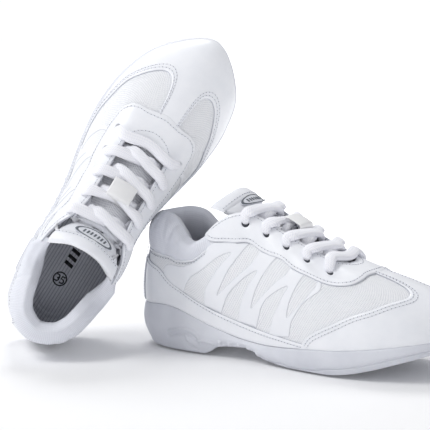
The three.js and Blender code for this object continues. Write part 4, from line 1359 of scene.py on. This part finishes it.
def flap_line(x, z, half, drop, sweep, spread):
    """A line across the tongue, bowed down by drop and back by sweep at its ends."""
    return np.stack([x - sweep * spread**2, half * spread, z - drop * spread**2], -1)


def smooth_rows(rows, per):
    """More rows, on smooth curves through the given ones."""
    rows = [2 * rows[0] - rows[1], *rows, 2 * rows[-1] - rows[-2]]
    out = []
    for a, b, c, d in zip(rows[:-3], rows[1:-2], rows[2:-1], rows[3:]):
        out += [curve_through(a, b, c, d, w) for w in np.arange(per) / per]
    return np.array([*out, rows[-2]])


def face_normals(g):
    n = np.cross(np.gradient(g, axis=0), np.gradient(g, axis=1))
    n /= np.maximum(np.linalg.norm(n, axis=-1, keepdims=True), 1e-9)
    return np.where(n[..., 2:3] < 0, -n, n)


def quilt(face, thick):
    """A padded sheet under a face: thick in the middle, with rounded edges."""
    c, r = face.shape[:2]
    n = face_normals(face)
    along = np.linalg.norm(np.diff(face, axis=0), axis=2)
    across = np.linalg.norm(np.diff(face, axis=1), axis=2)
    from_start = np.vstack([np.zeros((1, r)), np.cumsum(along, axis=0)])
    from_side = np.hstack([np.zeros((c, 1)), np.cumsum(across, axis=1)])
    gap = np.minimum(np.minimum(from_start, from_start[-1:] - from_start),
                     np.minimum(from_side, from_side[:, -1:] - from_side))
    w = np.clip(gap / PAD_ROUND, 0, 1)
    full = np.sqrt(1 - (1 - w)**2)
    top = face + n * ((full - 1) * thick / 2)[..., None]
    low = face - n * (thick * (0.5 + 0.5 * full))[..., None]
    flat = np.stack([from_start, from_side], -1).reshape(-1, 2)
    verts = np.vstack([top.reshape(-1, 3), low.reshape(-1, 3)])
    m = c * r
    faces = grid_faces(c, r, flip=True) + grid_faces(c, r, start=m)
    rim = [i * r for i in range(c)] + [(c - 1) * r + j for j in range(1, r)]
    rim += [i * r + r - 1 for i in range(c - 2, -1, -1)] + [j for j in range(r - 2, 0, -1)]
    faces += [(b, a, a + m, b + m) for a, b in zip(rim, rim[1:] + rim[:1])]
    return verts, faces, np.vstack([flat, flat])


flap_leather = leather_material(
    "soft_white_flap_leather", srgb(244, 245, 249), srgb(235, 237, 243), 0.42, crease=0.9, depth=0.0003)
air_mesh = knit_material("grey_air_mesh", srgb(242, 243, 247), srgb(202, 204, 212), 0.0017, 0.0003)
for side in SIDES:
    rows = []
    spread = np.linspace(-1, 1, 27)
    for k in TONGUE_STATIONS:
        low = 0.955 if k > 15 else 0.87
        a, b = over(k, low, TONGUE_UNDER - 0.4), over(k, 0.97, TONGUE_UNDER + 0.3)
        c = crown_of_throat(k)
        flip = np.array([1, -1, 1])
        run = smooth_rows([a * flip, b * flip, c, b, a], 8)
        run[:, 2] = np.minimum(run[:, 2], c[2])
        step = np.linspace(0, len(run) - 1, len(spread))
        rows.append(np.stack([np.interp(step, np.arange(len(run)), run[:, m]) for m in range(3)], 1))
    rows.append(flap_line(*TONGUE_END_LINE, spread))
    face = smooth_rows(rows, 7)
    verts, faces, flat = quilt(face, TONGUE_THICK)
    columns = np.arange(face.shape[0] - 1).repeat(face.shape[1] - 1)
    leather_end = (columns > face.shape[0] * TONGUE_LEATHER_FROM).astype(int)
    rim = np.zeros(len(faces) - 2 * len(columns), int)
    obj = make("tongue", side, verts, faces, [air_mesh, flap_leather], flat=flat,
               face_mat=np.concatenate([leather_end, leather_end, rim]))
    attach(obj, side, ("tongue",), "shoe")


# ---- Tongue top ---------------------------------------------------------------------------
# The tongue's end is a foam-filled flap of coated leather. Its edge is folded back as a band
# and sewn down with one row; it can be folded forward over the laces.
FLAP_THICK = 4.4
FLAP_LINES = (  # x, z, half width, drop, sweep
    (85.1, 97.1, 15.8, 6.2, 3.2), (81.5, 100.3, 20, 8.2, 5), (76.5, 104.2, 23.5, 9.6, 6.5),
    (69.5, 108.6, 25, 11.2, 8))
BAND_START = 0.56


def band_wave(spread):
    """The loose end of the band ripples towards its corners."""
    return 0.9 * np.cos(spread * 7.5) * np.abs(spread)


flap_seams = {}
for side in SIDES:
    spread = np.linspace(-1, 1, 41)
    face = smooth_rows([flap_line(*line, spread) for line in FLAP_LINES], 11)
    c = face.shape[0]
    along = np.linspace(0, 1, c)[:, None] * np.ones((1, len(spread)))
    n = face_normals(face)
    fold_line = BAND_START + 0.05 * spread[None, :]**2
    raised = 0.75 / (1 + np.exp(-(along - fold_line) / 0.012))
    channel = -0.65 * np.exp(-((along - fold_line) / 0.022)**2)
    bulge = 0.5 * np.exp(-((along - fold_line - 0.22) / 0.13)**2)
    slack = 0.18 * np.sin(spread * 21 + 4 * along) * np.exp(-((along - fold_line) / 0.12)**2)
    shaped = face + n * (raised + channel + bulge + slack)[..., None]
    shaped[-1] += np.stack([-band_wave(spread) * 0.5, 0 * spread, band_wave(spread) * 0.4], 1)
    verts, faces, flat = quilt(shaped, FLAP_THICK)
    obj = make("tongue_top", side, verts, faces, flap_leather, flat=flat)
    attach(obj, side, ("tongue_top",), "tongue_flap")
    row = int(c * (BAND_START + 0.13))
    flap_seams[side] = shaped[row, 2:-2] + n[row, 2:-2] * THREAD_LIFT


# ---- Tongue badge -------------------------------------------------------------------------
# A thin moulded oval, light in the middle with a dark raised rim and a row of plain slanting
# bars, welded to the flap just above the last lace.
BADGE_HALF, BADGE_RISE = 13.5, 3.9
BADGE_AT = np.array([80.4, 0, 101.2])
BADGE_FACE = np.array([0.62, 0, 0.78]) / math.hypot(0.62, 0.78)
BADGE_SLOPE = np.array([-BADGE_FACE[2], 0, BADGE_FACE[0]])
BADGE_BOW = 0.011
BADGE_PROFILE = [  # share of the radius, lift
    (0, 0.75), (0.5, 0.75), (0.8, 0.7), (0.86, 0.62), (0.88, 0.95), (0.93, 1.05), (0.97, 0.95), (1.0, 0.6),
    (1.0, -0.4), (0.5, -0.4), (0, -0.4)]
BADGE_RIM_ROWS = (3, 6)
BADGE_BARS, BADGE_BAR_PITCH = 7, 2.5
BADGE_BAR_SHAPE = ((-0.95, -1.25), (0.2, -1.25), (0.95, 1.25), (-0.2, 1.25))
BADGE_BAR_LIFTS = (0.6, 0.95)


def on_badge(y, up, lift):
    y, up, lift = np.broadcast_arrays(*[np.asarray(v, float) for v in (y, up, lift)])
    bow = -BADGE_BOW * y * y
    p = BADGE_AT + np.stack([bow, y, bow], -1)
    return p + BADGE_SLOPE * up[..., None] + BADGE_FACE * lift[..., None]


def badge_material(name, colour, second):
    m, t, b = new_material(name)
    n = noise(t, object_vector(t), 700.0, 3.0)
    t.links.new(blend_colour(t, n, colour, second), b.inputs["Base Color"])
    t.links.new(remap(t, n, 0.3, 0.7, 0.35, 0.5), b.inputs["Roughness"])
    return m


badge_ground = badge_material("badge_pearl_ground", srgb(232, 234, 240), srgb(222, 224, 231))
badge_ink = badge_material("badge_dark_rim", srgb(84, 90, 98), srgb(112, 118, 126))
for side in SIDES:
    a = np.linspace(0, 2 * np.pi, 72, endpoint=False)
    g = np.stack([
        on_badge(BADGE_HALF * r * np.cos(a), BADGE_RISE * r * np.sin(a), z) for r, z in BADGE_PROFILE], 1)
    faces = grid_faces(*g.shape[:2], wrap_cols=True)
    first, final = BADGE_RIM_ROWS
    rim = [int(first <= n % (len(BADGE_PROFILE) - 1) <= final) for n in range(len(faces))]
    obj = make("badge", side, g.reshape(-1, 3), faces, [badge_ground, badge_ink], face_mat=rim, weld=True)
    attach(obj, side, ("tongue_badge",), "tongue_flap")
    verts, faces = [], []
    for n in range(BADGE_BARS):
        middle = (n - BADGE_BARS // 2) * BADGE_BAR_PITCH
        start = len(verts)
        for lift in BADGE_BAR_LIFTS:
            verts += [on_badge(middle + y, up, lift) for y, up in BADGE_BAR_SHAPE]
        faces += block_faces(start, len(BADGE_BAR_SHAPE))
        faces += [(start + 4, start + 5, start + 6, start + 7), (start + 3, start + 2, start + 1, start)]
    obj = make("badge_bars", side, np.array(verts), faces, badge_ink)
    flat_faces(obj)
    attach(obj, side, (), "tongue_flap")


# ---- Lace ---------------------------------------------------------------------------------
# One oval braided lace, 8 by 4.4 mm between the eyelets, crosses four times from the bar at the
# throat up to the last eyelets, and its ends are tucked in beside the tongue.
LACE_WIDTH, LACE_THICK = 8.0, 4.4
KEPT_CROSSING = 3
KEPT_SQUEEZE = 0.66
CAD_LACE_THICK = 2.4
LACE_RISE = CAD_LACE_THICK / 2 + 0.5
LACE_OUT = 0.5 + 1.0 + LACE_RISE
LACE_IN = -1.6 - LACE_RISE
EYELET_K = [k for k, s in EYELETS]
EYELET_LINE = np.array([
    (7.1, 0.965), (8, 0.915), (9.85, 0.867), (11.11, 0.845), (12.13, 0.84), (13.06, 0.82), (14.06, 0.8)])
THROAT_UP = np.array([0.42, 0, 0.9]) / math.hypot(0.42, 0.9)


def unit(v):
    return v / np.linalg.norm(v)


def face_at(direction, k, s=0.97):
    return last_normal(np.array(direction * k, float), np.array(float(s)))


def eyelet_height(k):
    return float(np.interp(k, EYELET_LINE[:, 0], EYELET_LINE[:, 1]))


def over_edge(direction, k):
    return [(over(direction * k, 0.99, LACE_OUT + 0.7), face_at(direction, k), LACE_WIDTH, LACE_THICK)]


def into_eyelet(direction, n):
    k = EYELET_K[n]
    s = eyelet_height(k) + 0.014
    kk = direction * k
    up = face_at(direction, k, s)
    out = unit(over(kk, s - 0.05, 0) - over(kk, s + 0.05, 0))
    rise = np.linalg.norm(over(kk, s + 0.02, 0) - over(kk, s - 0.02, 0)) / 0.04
    step = 1.5 / rise
    return [
        (over(kk, s + 2.6 * step, LACE_OUT + 0.45), up, 6.8, 4.2),
        (over(kk, s + 0.6 * step, LACE_OUT - 0.5), unit(up + out), 5.8, 3.8),
        (over(kk, s, 0.5), out, 4.4, 3.0),
        (over(kk, s, -1.6), out, 3.8, 2.6),
        (over(kk, s + 0.7 * step, LACE_IN - 0.2), unit(out - up), 4.2, 2.4)]


def strand(n, direction, upper):
    """From under the near edge, across the tongue, over the far edge, into the far eyelet."""
    gap = EYELET_K[n] - EYELET_K[n - 1]
    k_near = EYELET_K[n - 1] + gap * 0.32
    k_far = k_near + (EYELET_K[n] - k_near) * 0.72
    squeeze = KEPT_SQUEEZE if n == KEPT_CROSSING else 1.0
    down = -face_at(direction, k_near)
    out = [(over(direction * k_near, 0.955, LACE_IN), down, 5.5, CAD_LACE_THICK),
           (over(direction * k_near, 1.0, LACE_IN), down, 6.5, CAD_LACE_THICK)]
    a, b = [last(np.array(float(k)), np.array(1.0)) for k in (direction * k_near, -direction * k_far)]
    for m, f in enumerate((0.25, 0.5, 0.75)):
        kc = k_near + (k_far - k_near) * f
        t = last(np.array(kc), np.array(1.0))
        dome = crown_of_throat(kc)[2] - t[2] + 1.1
        stack = ((1.6, 3.1, 2.4) if upper else (0, 0, 1.4))[m]
        p = a + (b - a) * f + THROAT_UP * (dome + LACE_RISE - 0.3 + stack)
        out.append((p, THROAT_UP, LACE_WIDTH * squeeze, LACE_THICK))
    return out + over_edge(-direction, k_far) + into_eyelet(-direction, n)


def tucked_end(direction):
    k = EYELET_K[4]
    return [
        (over(direction * (k - 0.35), 0.79, LACE_IN - 1.4), -face_at(direction, k, 0.8), 5, CAD_LACE_THICK),
        (over(direction * (k - 0.7), 0.66, LACE_IN - 2.4), -face_at(direction, k, 0.7), 5.5, CAD_LACE_THICK),
        (over(direction * (k - 0.9), 0.5, LACE_IN - 2.4), -face_at(direction, k, 0.5), 5, CAD_LACE_THICK)]


def lace_route(side):
    """The strands that end in the outer eyelets of the standing shoe lie on top; its mate's do not."""
    top_from = -1 if side == "right" else 1
    front = last(np.array(EYELET_K[0]), np.array(1.0))
    bar = np.array([front[0] + 3.5, 0, front[2] - 1.2]) + THROAT_UP * 3.2
    half = [(bar, THROAT_UP, LACE_WIDTH, LACE_THICK)] + over_edge(1, EYELET_K[0]) + into_eyelet(1, 0)
    for n, direction in ((1, 1), (2, -1), (3, 1), (4, -1)):
        half += strand(n, direction, direction == top_from)
    half += tucked_end(1)
    other = over_edge(-1, EYELET_K[0]) + into_eyelet(-1, 0)
    for n, direction in ((1, -1), (2, 1), (3, -1), (4, 1)):
        other += strand(n, direction, direction == top_from)
    return half[::-1] + other + tucked_end(-1)


def swept_oval(route, sub, sides):
    """An oval section carried along a route of (point, up, width, thickness)."""
    p = smooth_rows([r[0] for r in route], sub)
    ups = smooth_rows([r[1] for r in route], sub)
    size = smooth_rows([np.array(r[2:], float) for r in route], sub)
    ahead = np.gradient(p, axis=0)
    ahead /= np.maximum(np.linalg.norm(ahead, axis=1), 1e-9)[:, None]
    rings, held = [], None
    angle = np.linspace(0, 2 * np.pi, sides, endpoint=False)
    ca = np.sign(np.cos(angle)) * np.abs(np.cos(angle))**0.9
    sa = np.sign(np.sin(angle)) * np.abs(np.sin(angle))**0.85
    for i in range(len(p)):
        across = unit(np.cross(ahead[i], ups[i]))
        if held is not None:
            if held @ across < 0:
                across = -across
            across = unit(across * 0.45 + held * 0.55)
            across = unit(across - ahead[i] * (across @ ahead[i]))
        held = across
        thick = unit(np.cross(across, ahead[i]))
        w, t = size[i]
        rings.append(p[i] + across * (ca * w / 2)[:, None] + thick * (sa * t / 2)[:, None])
    g = np.array(rings)
    n = len(g)
    faces = grid_faces(n, sides, wrap_rows=True) + end_caps(n, sides)
    run = np.concatenate([[0], np.cumsum(np.linalg.norm(np.diff(p, axis=0), axis=1))])
    flat = np.stack(np.meshgrid(run, np.sin(angle / 2) * 9.0, indexing="ij"), -1).reshape(-1, 2)
    return g, faces, flat


def braid_material():
    m, t, b = new_material("white_braided_lace")
    flat, along, girth = flat_axes(t)
    u = calc(t, "MULTIPLY", along, 2 * math.pi / 0.0012)
    v = calc(t, "MULTIPLY", calc(t, "ABSOLUTE", calc(t, "SUBTRACT", girth, 0.0045)), 2 * math.pi / 0.0018)
    plait = calc(t, "SINE", calc(t, "ADD", u, v))
    rows = ribs_along(t, girth, 0.0015)
    weave = calc(t, "ADD", plait, calc(t, "MULTIPLY", rows, 0.6))
    fluff = noise(t, flat, 900.0, 3.0)
    t.links.new(blend_colour(t, remap(t, weave, -1.3, 0.5), srgb(236, 237, 246), srgb(250, 250, 254)),
                b.inputs["Base Color"])
    b.inputs["Roughness"].default_value = 0.8
    b.inputs["Sheen Weight"].default_value = 0.25
    bump(t, calc(t, "ADD", weave, calc(t, "MULTIPLY", fluff, 0.5)), 0.35, 0.00018, b.inputs["Normal"])
    return m


white_braid = braid_material()
for side in SIDES:
    g, faces, flat = swept_oval(lace_route(side), 7, 18)
    obj = make("lace", side, g.reshape(-1, 3), faces, white_braid, flat=flat)
    attach(obj, side, ("lace",), "shoe")


# ---- Aglets -------------------------------------------------------------------------------
# Clear-white plastic tips crimped on the lace's two tucked ends.
def aglet_material():
    m, t, b = new_material("crimped_white_plastic")
    n = noise(t, object_vector(t), 500.0, 2.0)
    t.links.new(blend_colour(t, n, srgb(226, 228, 234), srgb(240, 241, 246)), b.inputs["Base Color"])
    t.links.new(remap(t, n, 0.3, 0.7, 0.15, 0.3), b.inputs["Roughness"])
    return m


clear_white = aglet_material()
for side in SIDES:
    for end in ("a", "b"):
        tip = bpy.data.objects[f"{side}_aglet_{end}"]
        for slot in tip.material_slots:
            slot.material = clear_white


# ---- Lace keeper --------------------------------------------------------------------------
# A loop of warm white coated leather, sewn to the tongue before and behind the third
# crossing, which holds the tongue on its middle line.
KEEPER_WIDTH, KEEPER_LENGTH, KEEPER_THICK = 17.0, 14.6, 1.1
KEEPER_HEIGHT = 2 * CAD_LACE_THICK + 4.8
KEEPER_BEND = 2.6
keeper_leather = leather_material(
    "warm_white_keeper_leather", srgb(243, 243, 243), srgb(235, 235, 236), 0.4, crease=0.6, depth=0.0002)
for side in SIDES:
    k_mid = (EYELET_K[2] + EYELET_K[3]) / 2 + 0.22
    seat = crown_of_throat(k_mid)
    uphill = unit(np.array([0.9, 0, -0.42]))
    half = KEEPER_LENGTH / 2
    bend_angles = np.linspace(0, np.pi / 2, 6)
    rising = [(-half, 0.4)]
    rising += [(KEEPER_BEND * (1 - math.cos(a)) - half, KEEPER_HEIGHT - KEEPER_BEND * (1 - math.sin(a)))
               for a in bend_angles]
    falling = [(-x, z) for x, z in reversed(rising)]
    arch = np.array([*rising, (0, KEEPER_HEIGHT + 0.35), *falling])
    d = np.gradient(arch, axis=0)
    d /= np.linalg.norm(d, axis=1)[:, None]
    inward = np.stack([d[:, 1], -d[:, 0]], 1)
    w = KEEPER_WIDTH / 2
    section = [
        (-w, 0.45), (-w + 0.35, 0.1), (-w + 1, 0.0), (0, -0.25), (w - 1, 0.0), (w - 0.35, 0.1), (w, 0.45),
        (w - 0.3, 0.9), (0, 0.9), (-w + 0.3, 0.9)]
    g = []
    for q, n2 in zip(arch, inward):
        for y, sink in section:
            a = q + n2 * sink * KEEPER_THICK
            sag = 0.012 * y * y
            g.append(seat + uphill * a[0] + THROAT_UP * (a[1] - sag * (a[1] > 3)) + np.array([0, y, 0]))
    g = np.array(g).reshape(len(arch), len(section), 3)
    faces = grid_faces(*g.shape[:2], wrap_rows=True) + end_caps(*g.shape[:2])
    obj = make("lace_keeper", side, g.reshape(-1, 3), faces, keeper_leather, edge=np.zeros(g.size // 3))
    attach(obj, side, ("lace_keeper",), "shoe")


# ---- Stitching ----------------------------------------------------------------------------
# Lockstitch in thick bonded thread: every stitch is a short rounded bar that dives into a
# needle hole at each end, and a small dark bead of painted shade marks each needle hole.
# The rows were marked out above with their panels.
STITCH_PITCH = 2.5
THREAD_LENGTH = 1.75
THREAD_RADIUS = 0.3
HOLE_LENGTH = 0.62
HOLE_SHARE = 0.5


def stitch_tree():
    g, gi, go = geometry_tree("lockstitch_row", [
        ("Pitch", "NodeSocketFloat", 0.0025), ("Length", "NodeSocketFloat", 0.0018),
        ("Radius", "NodeSocketFloat", 0.0003), ("Hole share", "NodeSocketFloat", 0.0),
        ("Finish", "NodeSocketMaterial", None)])
    line = g.nodes.new("GeometryNodeMeshToCurve")
    g.links.new(gi.outputs["Geometry"], line.inputs[0])
    even = g.nodes.new("GeometryNodeResampleCurve")
    even.mode = "LENGTH"
    g.links.new(line.outputs[0], even.inputs["Curve"])
    g.links.new(gi.outputs["Pitch"], even.inputs["Length"])
    bead = g.nodes.new("GeometryNodeMeshUVSphere")
    bead.inputs["Segments"].default_value = 6
    bead.inputs["Rings"].default_value = 5
    bead.inputs["Radius"].default_value = 1.0
    size = g.nodes.new("ShaderNodeCombineXYZ")
    g.links.new(calc(g, "MULTIPLY", gi.outputs["Length"], 0.5), size.inputs[0])
    g.links.new(gi.outputs["Radius"], size.inputs[1])
    g.links.new(gi.outputs["Radius"], size.inputs[2])
    tangent = g.nodes.new("GeometryNodeInputTangent")
    turn = g.nodes.new("FunctionNodeAlignRotationToVector")
    turn.axis = "X"
    g.links.new(tangent.outputs[0], turn.inputs["Vector"])
    spread = g.nodes.new("GeometryNodeInstanceOnPoints")
    g.links.new(even.outputs[0], spread.inputs["Points"])
    g.links.new(bead.outputs["Mesh"], spread.inputs["Instance"])
    g.links.new(turn.outputs[0], spread.inputs["Rotation"])
    g.links.new(size.outputs[0], spread.inputs["Scale"])
    shift = g.nodes.new("ShaderNodeCombineXYZ")
    g.links.new(calc(g, "MULTIPLY", gi.outputs["Pitch"], gi.outputs["Hole share"]), shift.inputs[0])
    move = g.nodes.new("GeometryNodeTranslateInstances")
    scaled = g.nodes.new("ShaderNodeVectorMath")
    scaled.operation = "DIVIDE"
    g.links.new(shift.outputs[0], scaled.inputs[0])
    g.links.new(size.outputs[0], scaled.inputs[1])
    g.links.new(spread.outputs["Instances"], move.inputs["Instances"])
    g.links.new(scaled.outputs[0], move.inputs["Translation"])
    end_tree(g, move.outputs["Instances"], gi.outputs["Finish"], go)
    return g


def thread_material(name, light, dark):
    m, t, b = new_material(name)
    where = object_vector(t)
    ply = noise(t, where, 3200.0, 2.0)
    t.links.new(blend_colour(t, ply, dark, light), b.inputs["Base Color"])
    b.inputs["Roughness"].default_value = 0.7
    bump(t, ply, 0.3, 0.0001, b.inputs["Normal"])
    return m


bonded_thread = thread_material("white_bonded_thread", srgb(236, 238, 244), srgb(214, 217, 226))
# painted shade: dark beads that stand for the shadow in each needle hole
needle_hole_shade = thread_material("needle_hole_shadow", srgb(150, 153, 163), srgb(122, 125, 136))
LOCKSTITCH = stitch_tree()


def sew(name, side, runs, body):
    """Thread, and dark beads of painted shade at the needle holes, along runs of points, on one body."""
    points, edges = [], []
    for run in runs:
        start = len(points)
        points += list(place(side, run))
        edges += [(i, i + 1) for i in range(start, len(points) - 1)]
    for what, finish, length, radius, share in (
            ("thread", bonded_thread, THREAD_LENGTH, THREAD_RADIUS, 0.0),
            ("needle_holes", needle_hole_shade, HOLE_LENGTH, THREAD_RADIUS, HOLE_SHARE)):
        obj = grown(f"{side}_{name}_{what}", points, edges, LOCKSTITCH, {
            "Pitch": STITCH_PITCH / 1000, "Length": length / 1000, "Radius": radius / 1000,
            "Hole share": share, "Finish": finish})
        attach(obj, side, (), body)


for side in SIDES:
    sew("upper", side, stitch_rows[side], "bend")
    sew("flap", side, [flap_seams[side]], "tongue_flap")


# ---- Floor, light and camera --------------------------------------------------------------
# A white sweep under broad soft light, seen from low on the lateral side of the standing shoe.
# The sweep glows as painted light: faint near the shoes, plain white further off.
FLOOR_SIZE = 30
SWEEP_FROM, SWEEP_TO = 0.24, 0.6
SWEEP_GLOW_NEAR, SWEEP_GLOW_FAR = 0.04, 0.95
SKY_LIGHT, SKY_SEEN = 0.5, 1.05
KEY_WATTS, BACK_WATTS = 12, 6
LIT_SPOT = (0.02, 0, 0.06)


def glowing_floor_material():
    m, t, b = new_material("glowing_white_sweep")
    n = noise(t, object_vector(t), 3.0, 2.0)
    t.links.new(blend_colour(t, n, (0.93, 0.93, 0.94), (0.95, 0.95, 0.955)), b.inputs["Base Color"])
    b.inputs["Roughness"].default_value = 0.7
    b.inputs["Specular IOR Level"].default_value = 0.2
    # painted light: the sweep glows, faint near the shoes and rising to plain white away from them
    away = t.nodes.new("ShaderNodeVectorMath")
    away.operation = "LENGTH"
    t.links.new(object_vector(t), away.inputs[0])
    b.inputs["Emission Color"].default_value = (1, 1, 1, 1)
    rise = remap(
        t, away.outputs["Value"], SWEEP_FROM, SWEEP_TO, SWEEP_GLOW_NEAR, SWEEP_GLOW_FAR, smooth=True)
    t.links.new(rise, b.inputs["Emission Strength"])
    return m


bpy.ops.mesh.primitive_plane_add(size=FLOOR_SIZE, location=(0, 0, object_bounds()[0][2]))
floor = bpy.context.object
floor.name = "floor"
floor.data.materials.append(glowing_floor_material())

scene = bpy.context.scene
scene.view_settings.view_transform = "Standard"
world = bpy.data.worlds.new("studio")
scene.world = world
world.use_nodes = True
sky = world.node_tree.nodes["Background"]
sky.inputs["Color"].default_value = (0.965, 0.975, 1.0, 1)
# the backdrop itself is plain white, while its light on the shoes stays soft
seen = world.node_tree.nodes.new("ShaderNodeLightPath")
glow = world.node_tree.nodes.new("ShaderNodeMapRange")
glow.inputs["To Min"].default_value = SKY_LIGHT
glow.inputs["To Max"].default_value = SKY_SEEN
world.node_tree.links.new(seen.outputs["Is Camera Ray"], glow.inputs["Value"])
world.node_tree.links.new(glow.outputs[0], sky.inputs["Strength"])


def softbox(name, at, size, power):
    lamp = bpy.data.lights.new(name, "AREA")
    lamp.shape = "RECTANGLE"
    lamp.size, lamp.size_y = size
    lamp.energy = power
    obj = bpy.data.objects.new(name, lamp)
    scene.collection.objects.link(obj)
    obj.location = at
    obj.rotation_euler = (Vector(LIT_SPOT) - Vector(at)).to_track_quat("-Z", "Y").to_euler()


softbox("key", (-0.65, -0.85, 1.35), (0.7, 0.7), KEY_WATTS)
softbox("back_left", (-0.45, 0.6, 1.2), (0.5, 0.5), BACK_WATTS)

# the camera is level from side to side, turned about the upright and tilted down
TURN = math.radians(31.955)
TILT = math.radians(7.27)
LENS_LENGTH, SENSOR_WIDTH = 123.74, 36
eye = Vector((0.53144, -0.83946, 0.21473))
right = Vector((math.cos(TURN), math.sin(TURN), 0))
look = Vector((-math.sin(TURN) * math.cos(TILT), math.cos(TURN) * math.cos(TILT), -math.sin(TILT)))
above = right.cross(look)
lens = bpy.data.cameras.new("camera")
lens.sensor_width = SENSOR_WIDTH
lens.lens = LENS_LENGTH
camera = bpy.data.objects.new("camera", lens)
scene.collection.objects.link(camera)
camera.matrix_world = Matrix((
    (right.x, above.x, -look.x, eye.x),
    (right.y, above.y, -look.y, eye.y),
    (right.z, above.z, -look.z, eye.z),
    (0, 0, 0, 1)))
scene.camera = camera
